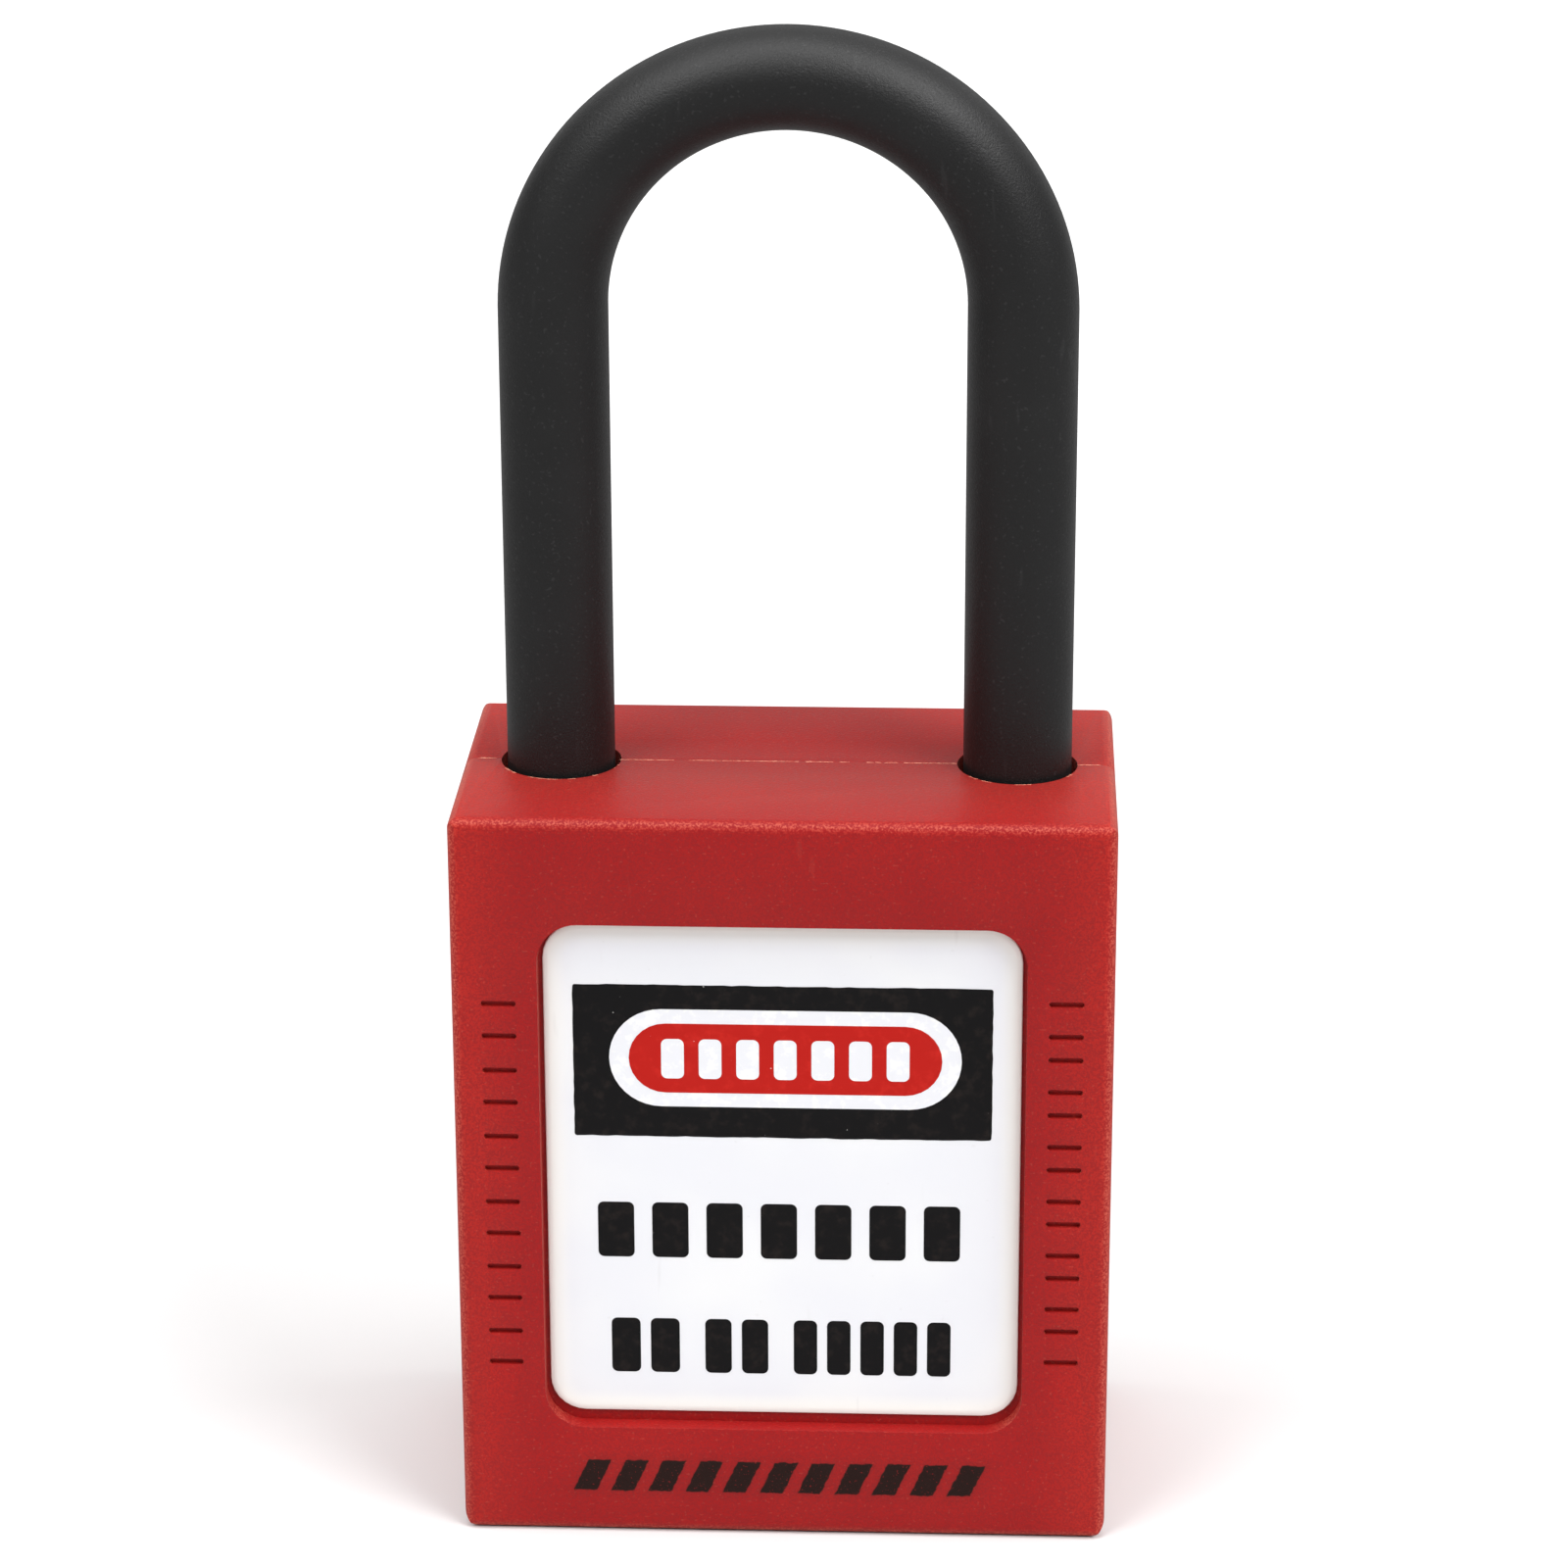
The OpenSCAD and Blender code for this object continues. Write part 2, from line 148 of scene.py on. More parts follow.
def floor_paper():
    """White paper that is darker in reflections, so that the gloss on the lock stays deep."""
    material = plain_material("floor_paper", FLOOR_WHITE, FLOOR_ROUGHNESS)
    tree = material.node_tree
    path = tree.nodes.new("ShaderNodeLightPath")
    mix = tree.nodes.new("ShaderNodeMix")
    mix.data_type = "RGBA"
    mix.inputs[6].default_value = (*FLOOR_WHITE, 1)
    mix.inputs[7].default_value = (*FLOOR_IN_GLOSS, 1)
    tree.links.new(path.outputs["Is Glossy Ray"], mix.inputs[0])
    tree.links.new(mix.outputs[2], tree.nodes["Principled BSDF"].inputs["Base Color"])
    return material


def floor_mesh():
    """A flat ring: four faces between the floor's outer edge and its opening."""
    mesh = bpy.data.meshes.new("floor")
    rims = ((FLOOR_HALF, FLOOR_HALF), FLOOR_OPENING)
    corners = ((-1, -1), (1, -1), (1, 1), (-1, 1))
    points = [(x * u, y * v, FLOOR_HEIGHT) for x, y in rims for u, v in corners]
    mesh.from_pydata(points, [], [(k, (k + 1) % 4, (k + 1) % 4 + 4, k + 4) for k in range(4)])
    mesh.materials.append(floor_paper())
    return mesh


place_camera()
bpy.context.scene.view_settings.view_transform = "Standard"
light_room()
for lamp_facts in LAMPS:
    soft_lamp(*lamp_facts)
link_mesh("floor", floor_mesh())


# ---- Body shells ----
# Two halves injection moulded in red nylon and welded together along the middle of the
# depth. The tool leaves a fine grain, with painted shade in its hollows. Painted light makes
# the front brighter towards its left and right sides, and the rounded edges carry a painted
# highlight. A row of slanted marks is pad-printed in dark ink under the front label.

MERGE_GAP = 0.002 * MM
TINY_EDGE = 0.001 * MM
FLAT_ANGLE = 0.4
SLANT_AT_EDGE = 0.25
# The foot of the label's recess is rounded by RIM_EDGE, and the rest by shares of that.
RIM_EDGE = 0.32 * MM
COMMON_EDGE = 0.35
GROOVE_EDGE = 0.14
WELD_EDGE = 0.12
# Where the weld, the grooves and the recess's foot lie: x and y in mm from the middle
# of the lock, and z in mm from its foot.
WELD_Y = 0.05
GROOVES_X, GROOVES_Y = (15.0, 17.5), 10.1
FOOT_X, FOOT_Y, FOOT_Z = 14.2, 10.4, (6.5, 9.5)
RED = (0.337, 0.0058, 0.0068)
# Painted light: the red that the front turns towards its left and right sides; slow random clouds use it too.
RED_SIDE_LIGHT_AND_CLOUDS = (0.44, 0.016, 0.011)
# Painted shade: the darker red laid in the hollows of the grain's bump.
RED_HOLLOW_SHADE = (0.235, 0.0080, 0.0105)
# Pale red: the painted highlight on rounded edges, and the colour of filler specks, handling marks and weld
# flash.
RED_PALE = (0.60, 0.13, 0.085)
PRINT_LOW, PRINT_HIGH = 2.75 * MM, 4.78 * MM
PRINT_LEFT, PRINT_RIGHT = -12.4 * MM, 11.9 * MM
PRINT_COUNT = 11
PRINT_SLANT = 0.45
# Half the gap between two marks, as a share of their pitch.
PRINT_GAP_SHARE = 0.19
PRINT_SHAKE = 0.22 * MM
# Each layer of the print: its output, how soft its edge is and how far it spreads.
PRINT_LAYERS = (("Ink", 0.05 * MM, 0.0), ("Stain", 0.55 * MM, 0.25 * MM))
PRINT_INK = (0.008, 0.005, 0.004)
PRINT_STAIN = (0.10, 0.01, 0.01)
INK_COVER, STAIN_COVER = 0.97, 0.28
RED_SPECULAR = 0.18
RED_SHEEN, RED_SHEEN_ROUGHNESS, RED_SHEEN_TINT = 0.16, 0.45, (1.0, 0.50, 0.34, 1)
RED_GRAINS_PER_MM = 7.5
RED_ROUGHNESS, RED_ROUGHNESS_SWING = 0.36, 0.22
# Where the painted light on the sides begins and where it is full, as distance from the middle.
SIDE_LIGHT_FROM, SIDE_LIGHT_TO = 14.0 * MM, 19 * MM


def merged_copy(node, name):
    """A new piece with a CAD node's shape, as one closed skin with its flat faces whole."""
    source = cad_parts[node].data
    mesh = bpy.data.meshes.new(name)
    points = [tuple(v.co) for v in source.vertices]
    mesh.from_pydata(points, [], [tuple(p.vertices) for p in source.polygons])
    bm = bmesh.new()
    bm.from_mesh(mesh)
    bmesh.ops.remove_doubles(bm, verts=bm.verts, dist=MERGE_GAP)
    bmesh.ops.dissolve_degenerate(bm, edges=bm.edges, dist=TINY_EDGE)
    bmesh.ops.dissolve_limit(bm, angle_limit=math.radians(FLAT_ANGLE), verts=bm.verts, edges=bm.edges)
    bm.to_mesh(mesh)
    bm.free()
    return link_mesh(name, mesh)


def settle(piece):
    """Turns the modifiers of a piece into its mesh."""
    bpy.context.view_layer.update()
    result = bpy.data.meshes.new_from_object(piece.evaluated_get(bpy.context.evaluated_depsgraph_get()))
    piece.modifiers.clear()
    piece.data = result


def round_edges(piece, width, weight_of=None, segments=2, angle=28):
    """Rounds the edges that are sharper than angle; weight_of(middle) may spare some of them."""
    bm = bmesh.new()
    bm.from_mesh(piece.data)
    weights = bm.edges.layers.float.new("bevel_weight_edge")
    for edge in bm.edges:
        if len(edge.link_faces) == 2 and edge.calc_face_angle() > math.radians(angle):
            middle = (edge.verts[0].co + edge.verts[1].co) / 2
            edge[weights] = weight_of(middle) if weight_of else 1.0
    bm.to_mesh(piece.data)
    bm.free()
    bevel = piece.modifiers.new("edges", "BEVEL")
    bevel.width, bevel.segments, bevel.profile = width, segments, 0.5
    bevel.limit_method = "WEIGHT"
    bevel.use_clamp_overlap = True
    bevel.miter_outer = "MITER_ARC"
    settle(piece)
    for polygon in piece.data.polygons:
        polygon.use_smooth = True
    piece.data.set_sharp_from_angle(angle=math.radians(angle))


def keep_inside(piece, node):
    """Puts back the vertices that rounding left a hair outside the CAD node's box."""
    low, high = (np.array(corner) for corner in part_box(node))
    points = np.zeros(len(piece.data.vertices) * 3)
    piece.data.vertices.foreach_get("co", points)
    points = np.clip(points.reshape(-1, 3), low, high)
    piece.data.vertices.foreach_set("co", points.ravel())


def mark_edges(piece):
    """A face attribute: 0 on the flat sides, 1 in the middle of a rounded edge."""
    mesh = piece.data
    normals = np.zeros(len(mesh.polygons) * 3)
    mesh.polygons.foreach_get("normal", normals)
    slant = 1 - np.abs(normals.reshape(-1, 3)).max(axis=1)
    edge = mesh.attributes.new("edge", "FLOAT", "FACE")
    edge.data.foreach_set("value", np.clip(slant / SLANT_AT_EDGE, 0, 1))


def add(tree, kind, sources=None, **settings):
    """A new node with these settings; sources feeds its inputs, by their names or numbers."""
    node = tree.nodes.new(kind)
    for key, value in settings.items():
        setattr(node, key, value)
    for label, value in (sources or {}).items():
        feed(tree, node.inputs[label], value)
    return node


def feed(tree, socket, value):
    """Links an output to a socket, or sets the socket to a plain number or colour."""
    if isinstance(value, bpy.types.NodeSocket):
        tree.links.new(value, socket)
    elif isinstance(value, tuple) and len(value) == 3 and socket.type == "RGBA":
        socket.default_value = (*value, 1)
    else:
        socket.default_value = value


def calc(tree, operation, a, b=0.0, clamp=False):
    """The output of a Math node; a and b are sockets or plain numbers."""
    node = add(tree, "ShaderNodeMath", {0: a, 1: b}, operation=operation, use_clamp=clamp)
    return node.outputs[0]


def cloud(tree, vector, scale, detail=2.0, roughness=0.5):
    """Noise from 0 to 1 with scale blobs to the metre."""
    node = add(tree, "ShaderNodeTexNoise", {
        "Vector": vector, "Scale": scale, "Detail": detail, "Roughness": roughness})
    return node.outputs["Fac"]


def ramp(tree, value, low, high):
    """Takes low..high to 0..1, smoothly and clamped."""
    node = add(tree, "ShaderNodeMapRange", {
        "From Min": low, "From Max": high, "Value": value}, interpolation_type="SMOOTHSTEP")
    return node.outputs["Result"]


def blend_colour(tree, factor, a, b):
    """Colour a where factor is 0 and b where it is 1."""
    node = add(tree, "ShaderNodeMix", {0: factor, 6: a, 7: b}, data_type="RGBA")
    return node.outputs[2]


def stretched(tree, vector, scale, rotation=(0, 0, 0)):
    """The vector turned and scaled, each axis by its own factor."""
    node = add(tree, "ShaderNodeMapping", {"Vector": vector, "Rotation": rotation, "Scale": scale})
    return node.outputs["Vector"]


def shader_group(name, inputs, outputs):
    """An empty shader node group; inputs are vectors or numbers and outputs are numbers."""
    group = bpy.data.node_groups.new(name, "ShaderNodeTree")
    for label in inputs:
        kind = "NodeSocketVector" if label == "Vector" else "NodeSocketFloat"
        group.interface.new_socket(label, in_out="INPUT", socket_type=kind)
    for label in outputs:
        group.interface.new_socket(label, in_out="OUTPUT", socket_type="NodeSocketFloat")
    return group, group.nodes.new("NodeGroupInput").outputs, group.nodes.new("NodeGroupOutput").inputs


def moulded_grain():
    """The skin of moulded nylon: a fine grain, pale specks of filler and slow clouds."""
    group, given, result = shader_group("moulded_grain", ("Vector", "Grains per mm"),
                                        ("Grain", "Specks", "Clouds"))
    per_metre = calc(group, "MULTIPLY", given["Grains per mm"], 1000.0)
    feed(group, result["Grain"], cloud(group, given["Vector"], per_metre, 2.0, 0.6))
    coarse = cloud(group, given["Vector"], calc(group, "MULTIPLY", per_metre, 0.7), 0.0, 0.4)
    feed(group, result["Specks"], ramp(group, coarse, 0.70, 0.80))
    feed(group, result["Clouds"], cloud(group, given["Vector"], 150.0, 2.0, 0.5))
    return group


def handling_marks():
    """Dust and short hairline scratches from use: a mask of the marks."""
    group, given, result = shader_group("handling_marks", ("Vector", "Amount"), ("Marks",))
    streaks = stretched(group, given["Vector"], (2600, 190, 330), (0.4, 0.9, 0.5))
    lines = ramp(group, cloud(group, streaks, 1.0, 1.0, 0.3), 0.70, 0.78)
    patches = ramp(group, cloud(group, given["Vector"], 230.0), 0.50, 0.68)
    dust = ramp(group, cloud(group, given["Vector"], 1900.0, 1.0, 0.4), 0.76, 0.82)
    both = calc(group, "ADD", calc(group, "MULTIPLY", lines, patches), dust, clamp=True)
    feed(group, result["Marks"], calc(group, "MULTIPLY", both, given["Amount"]))
    return group


def printed_stripes():
    """A row of slanted marks printed on the front: the ink itself and the stain round it."""
    group, given, result = shader_group("printed_stripes", ("Vector",), ("Ink", "Stain"))
    split = add(group, "ShaderNodeSeparateXYZ", {0: given["Vector"]})
    x, y, z = split.outputs
    on_front = calc(group, "LESS_THAN", y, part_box("front_shell")[0][1] + 0.1 * MM)
    wobble = calc(group, "SUBTRACT", cloud(group, given["Vector"], 2600.0), 0.5)
    shaky = calc(group, "MULTIPLY", wobble, PRINT_SHAKE)
    lean = calc(group, "MULTIPLY", calc(group, "SUBTRACT", z, (PRINT_LOW + PRINT_HIGH) / 2), PRINT_SLANT)
    slanted = calc(group, "ADD", calc(group, "SUBTRACT", x, lean), shaky)
    pitch = (PRINT_RIGHT - PRINT_LEFT) / PRINT_COUNT
    wave = calc(group, "PINGPONG", calc(group, "SUBTRACT", slanted, PRINT_LEFT), pitch / 2)
    gap = pitch * PRINT_GAP_SHARE
    for label, soft, spread in PRINT_LAYERS:
        stripe = ramp(group, wave, gap - soft - spread, gap + soft - spread)
        height = calc(group, "ADD", z, shaky)
        above = ramp(group, height, PRINT_LOW - soft - spread, PRINT_LOW + soft - spread)
        below = ramp(group, height, PRINT_HIGH + soft + spread, PRINT_HIGH - soft + spread)
        left = ramp(group, slanted, PRINT_LEFT - soft - spread, PRINT_LEFT + soft - spread)
        right = ramp(group, slanted, PRINT_RIGHT + soft + spread, PRINT_RIGHT - soft + spread)
        upright = calc(group, "MULTIPLY", above, below)
        mask = calc(group, "MULTIPLY", upright, calc(group, "MULTIPLY", left, right))
        feed(group, result[label], calc(group, "MULTIPLY", calc(group, "MULTIPLY", mask, stripe), on_front))
    return group


GRAIN = moulded_grain()
MARKS = handling_marks()


def use_group(tree, group, vector, **numbers):
    """The outputs of a shader group; an underscore in a name stands for a space."""
    node = add(tree, "ShaderNodeGroup", {"Vector": vector}, node_tree=group)
    for label, value in numbers.items():
        feed(tree, node.inputs[label.replace("_", " ")], value)
    return node.outputs


def bump(tree, shader, height, strength, depth):
    """Feeds the shader's normal from a height of 0 to 1, which is depth deep."""
    node = add(tree, "ShaderNodeBump", {"Strength": strength, "Distance": depth, "Height": height})
    tree.links.new(node.outputs["Normal"], shader.inputs["Normal"])


def red_nylon():
    """Red nylon and its print, with painted grain shade, painted side light and painted edge highlights."""
    material = plain_material("red_nylon", RED, 0.5)
    tree = material.node_tree
    shader = tree.nodes["Principled BSDF"]
    shader.inputs["Specular IOR Level"].default_value = RED_SPECULAR
    shader.inputs["Sheen Weight"].default_value = RED_SHEEN
    shader.inputs["Sheen Roughness"].default_value = RED_SHEEN_ROUGHNESS
    shader.inputs["Sheen Tint"].default_value = RED_SHEEN_TINT
    place = add(tree, "ShaderNodeTexCoord").outputs["Object"]
    grain = use_group(tree, GRAIN, place, Grains_per_mm=RED_GRAINS_PER_MM)
    marks = use_group(tree, MARKS, place, Amount=0.05)["Marks"]
    split = add(tree, "ShaderNodeSeparateXYZ", {0: place})
    # Painted light: the front is painted brighter towards its left and right sides; the clouds are random
    # tone.
    thin = ramp(tree, calc(tree, "ABSOLUTE", split.outputs["X"]), SIDE_LIGHT_FROM, SIDE_LIGHT_TO)
    cloudy = calc(tree, "MULTIPLY", ramp(tree, grain["Clouds"], 0.35, 0.75), 0.25)
    bright = calc(tree, "ADD", calc(tree, "MULTIPLY", thin, 0.75), cloudy, clamp=True)
    tone = blend_colour(tree, bright, RED, RED_SIDE_LIGHT_AND_CLOUDS)
    # Painted shade: the red darkens where the grain's bump is low, in its hollows.
    hollow_shade = calc(tree, "MULTIPLY", ramp(tree, grain["Grain"], 0.58, 0.42), 0.55)
    tone = blend_colour(tree, hollow_shade, tone, RED_HOLLOW_SHADE)
    # Painted highlight: the rounded edges turn pale red, speckled by the grain; the specks and handling marks
    # added next are the nylon's own.
    edge = add(tree, "ShaderNodeAttribute", attribute_name="edge").outputs["Fac"]
    edge_highlight = calc(tree, "MULTIPLY", edge, ramp(tree, grain["Grain"], 0.44, 0.64))
    pale = calc(tree, "MULTIPLY", edge_highlight, 0.62)
    pale = calc(tree, "ADD", pale, calc(tree, "MULTIPLY", grain["Specks"], 0.14), clamp=True)
    pale = calc(tree, "ADD", pale, marks, clamp=True)
    tone = blend_colour(tree, pale, tone, RED_PALE)
    stripes = use_group(tree, printed_stripes(), place)
    stain = calc(tree, "MULTIPLY", stripes["Stain"], STAIN_COVER)
    tone = blend_colour(tree, stain, tone, PRINT_STAIN)
    worn_ink = calc(tree, "MULTIPLY", stripes["Ink"], ramp(tree, grain["Grain"], 0.26, 0.36))
    tone = blend_colour(tree, calc(tree, "MULTIPLY", worn_ink, INK_COVER), tone, PRINT_INK)
    feed(tree, shader.inputs["Base Color"], tone)
    swing = calc(tree, "MULTIPLY", grain["Grain"], RED_ROUGHNESS_SWING)
    feed(tree, shader.inputs["Roughness"], calc(tree, "ADD", swing, RED_ROUGHNESS))
    bump(tree, shader, grain["Grain"], 0.8, 0.035 * MM)
    return material


def shell_edge_weight(middle):
    """How round an edge of a shell is: very little at the weld and in the fine grooves."""
    x, y, z = abs(middle.x) / MM, abs(middle.y) / MM, middle.z / MM
    if y < WELD_Y:
        return WELD_EDGE
    if GROOVES_X[0] < x < GROOVES_X[1] and y > GROOVES_Y:
        return GROOVE_EDGE
    if x < FOOT_X and y > FOOT_Y and FOOT_Z[0] < z < FOOT_Z[1]:
        return 1.0
    return COMMON_EDGE


RED_NYLON = red_nylon()

for shell in ("front_shell", "rear_shell"):
    half = merged_copy(shell, shell + "_moulding")
    round_edges(half, RIM_EDGE, shell_edge_weight, segments=3)
    keep_inside(half, shell)
    mark_edges(half)
    half.data.materials.clear()
    half.data.materials.append(RED_NYLON)
    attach(half, "body")
    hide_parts(shell)


# ---- Weld flash ----
# Where the halves are welded, and round the rims of the two shackle holes, a broken row of
# tiny pale burrs is left. Each burr is a crumb of the same nylon, whitened by the strain.

FLASH_PALE = (0.80, 0.33, 0.22)
FLASH_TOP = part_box("front_shell")[1][2] - 0.004 * MM
FLASH_SPACING = 0.11 * MM
FLASH_SEED = 7
FLASH_PATCHES = 420.0
# The least and greatest length, width and height of a crumb, in crumb sizes, and its turn.
CRUMB_LEAST, CRUMB_MOST = (0.5, 0.35, 0.15), (2.6, 1.0, 0.40)
CRUMB_TURN = 0.5
HOLE_X, HOLE_R = 13.3 * MM, 3.54 * MM
# The front part of a hole's rim, in degrees anticlockwise from +X.
HOLE_FRONT_FROM, HOLE_FRONT_SWEEP, HOLE_STEPS = 190, 160, 24
WELD_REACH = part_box("front_shell")[1][0] - 0.9 * MM


def geometry_tree(name, inputs):
    """An empty geometry node tree with named inputs: its tree, its inputs and its result."""
    kinds = {"f": "NodeSocketFloat", "i": "NodeSocketInt", "v": "NodeSocketVector", "m": "NodeSocketMaterial"}
    tree = bpy.data.node_groups.new(name, "GeometryNodeTree")
    tree.interface.new_socket("Geometry", in_out="OUTPUT", socket_type="NodeSocketGeometry")
    tree.interface.new_socket("Geometry", in_out="INPUT", socket_type="NodeSocketGeometry")
    for label, kind in inputs:
        tree.interface.new_socket(label, in_out="INPUT", socket_type=kinds[kind])
    return tree, tree.nodes.new("NodeGroupInput").outputs, tree.nodes.new("NodeGroupOutput").inputs


def finish_tree(tree, geometry, material, result):
    """The two last nodes of every tree: real geometry, then its material."""
    realize = add(tree, "GeometryNodeRealizeInstances")
    paint = add(tree, "GeometryNodeSetMaterial")
    feed(tree, realize.inputs["Geometry"], geometry)
    feed(tree, paint.inputs["Geometry"], realize.outputs["Geometry"])
    feed(tree, paint.inputs["Material"], material)
    feed(tree, result["Geometry"], paint.outputs["Geometry"])


def grow(name, tree, start_mesh, values):
    """Runs a geometry node tree on a mesh and keeps what it makes as a plain mesh."""
    piece = link_mesh(name, start_mesh or bpy.data.meshes.new(name))
    modifier = piece.modifiers.new("nodes", "NODES")
    modifier.node_group = tree
    for item in tree.interface.items_tree:
        if item.in_out == "INPUT" and item.name in values:
            modifier[item.identifier] = values[item.name]
    settle(piece)
    return piece


def join_vector(tree, x, y, z):
    """A vector from three sockets or numbers."""
    node = add(tree, "ShaderNodeCombineXYZ")
    for socket, value in zip(node.inputs, (x, y, z)):
        feed(tree, socket, value)
    return node.outputs[0]


def flash_tree():
    """Strews small burrs along every line of the mesh it is given."""
    tree, given, result = geometry_tree("flash", (
        ("Spacing", "f"), ("Size", "f"), ("Share", "f"), ("Seed", "i"), ("Material", "m")))
    curve = add(tree, "GeometryNodeMeshToCurve", {"Mesh": given["Geometry"]})
    points = add(tree, "GeometryNodeResampleCurve", {
        "Curve": curve.outputs["Curve"], "Length": given["Spacing"]}, mode="LENGTH")
    patchy = cloud(tree, add(tree, "GeometryNodeInputPosition").outputs[0], FLASH_PATCHES, 3.0, 0.7)
    crumb = add(tree, "GeometryNodeMeshIcoSphere", {"Radius": 1.0, "Subdivisions": 1})
    strew = add(tree, "GeometryNodeInstanceOnPoints", {
        "Points": points.outputs["Curve"], "Selection": calc(tree, "LESS_THAN", patchy, given["Share"]),
        "Instance": crumb.outputs["Mesh"]})
    size = add(tree, "FunctionNodeRandomValue", {
        "Min": CRUMB_LEAST, "Max": CRUMB_MOST, "Seed": given["Seed"]}, data_type="FLOAT_VECTOR")
    grown = add(tree, "ShaderNodeVectorMath", {
        0: size.outputs[0], "Scale": given["Size"]}, operation="SCALE")
    feed(tree, strew.inputs["Scale"], grown.outputs[0])
    turn = add(tree, "FunctionNodeRandomValue", {
        2: -CRUMB_TURN, 3: CRUMB_TURN, "Seed": given["Seed"]}, data_type="FLOAT")
    feed(tree, strew.inputs["Rotation"], join_vector(tree, 0.0, 0.0, turn.outputs[1]))
    finish_tree(tree, strew.outputs["Instances"], given["Material"], result)
    return tree


def flash_material():
    """Nylon gone pale, in patches between pale red and nearly white."""
    material = plain_material("weld_flash", FLASH_PALE, 0.6)
    tree = material.node_tree
    place = add(tree, "ShaderNodeTexCoord").outputs["Object"]
    tone = ramp(tree, cloud(tree, place, 3000.0), 0.35, 0.65)
    shader = tree.nodes["Principled BSDF"]
    feed(tree, shader.inputs["Base Color"], blend_colour(tree, tone, RED_PALE, FLASH_PALE))
    return material


def line_mesh(name, paths):
    """A mesh of open lines, one through each list of points on the body's top."""
    points, lines = [], []
    for path in paths:
        lines += [(len(points) + k, len(points) + k + 1) for k in range(len(path) - 1)]
        points += [(x, y, FLASH_TOP) for x, y in path]
    mesh = bpy.data.meshes.new(name)
    mesh.from_pydata(points, lines, [])
    return mesh


def rim_path(centre_x):
    """The front half of a shackle hole's rim."""
    angles = [math.radians(HOLE_FRONT_FROM + HOLE_FRONT_SWEEP * k / HOLE_STEPS)
              for k in range(HOLE_STEPS + 1)]
    return [(centre_x + HOLE_R * math.cos(a), HOLE_R * math.sin(a)) for a in angles]


WELD_PATHS = [
    [(-WELD_REACH, 0), (-HOLE_X - HOLE_R, 0)],
    [(HOLE_R - HOLE_X, 0), (HOLE_X - HOLE_R, 0)],
    [(HOLE_X + HOLE_R, 0), (WELD_REACH, 0)],
]
RIM_PATHS = [rim_path(-HOLE_X), rim_path(HOLE_X)]
FLASH_TREE = flash_tree()
FLASH_FINISH = flash_material()

# Each row of burrs: its lines, a crumb's size and the noise level below which they grow.
for name, paths, size, share in (("weld_flash", WELD_PATHS, 0.080 * MM, 0.53),
                                 ("hole_flash", RIM_PATHS, 0.055 * MM, 0.43)):
    flash = grow(name, FLASH_TREE, line_mesh(name, paths), {
        "Spacing": FLASH_SPACING, "Size": size, "Share": share, "Seed": FLASH_SEED,
        "Material": FLASH_FINISH})
    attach(flash, "body")


# ---- Shackle ----
# A quarter-inch bow of black glass-filled nylon. It is laid out as a straight rod with the
# heel's neck and flat and the toe's latch notch cut in it, and the rod is then bent round
# into the bow, which flattens it a little across the top.

ROD_R = 3.15 * MM
LEG_X = HOLE_X
HEEL_TIP_Z, TOE_TIP_Z = 14.0 * MM, 34.5 * MM
BEND_Z = 72.184 * MM
BEND_RISE = 13.168 * MM
THINNING = 0.063
NECK_R = 1.85 * MM
FLAT_AT = 1.85 * MM
NOTCH_AT = 1.2 * MM
RIDGE, RIDGE_WIDTH = 0.035 * MM, 0.035
TIP_CHAMFER = 0.5 * MM
SHACKLE_EDGE = 0.12 * MM
# Levels of the heel's neck and flat, and of the toe's notch.
NECK_Z, FLAT_Z = (17.4 * MM, 19.6 * MM), (19.6 * MM, 31.15 * MM)
NOTCH_Z = (36.2 * MM, 40.0 * MM)
BLACK = (0.0062, 0.0062, 0.0064)
BLACK_PALE = (0.040, 0.040, 0.041)
ROD_SIDES = 72
BEND_RINGS, HEEL_RINGS, TOE_RINGS = 80, 12, 10
BLACK_SPECULAR = 0.48
BLACK_GRAINS_PER_MM = 8.0
BLACK_ROUGHNESS, BLACK_ROUGHNESS_SWING = 0.38, 0.25


def rod_ring(s, cut):
    """One ring of the straight rod at distance s: +X is the outside of the bow."""
    ring = []
    angles = [2 * math.pi * k / ROD_SIDES for k in range(ROD_SIDES)]
    for angle in angles:
        from_ridge = min(angle % math.pi, math.pi - angle % math.pi)
        r = ROD_R + RIDGE * math.exp(-(from_ridge / RIDGE_WIDTH) ** 2) - RIDGE
        if cut == "chamfer":
            r -= TIP_CHAMFER
        if cut == "neck":
            r = NECK_R
        x, y = r * math.cos(angle), r * math.sin(angle)
        if cut == "flat":
            x = max(x, -FLAT_AT)
        if cut == "notch":
            x = max(x, -NOTCH_AT)
        ring.append((x, y, s))
    return ring


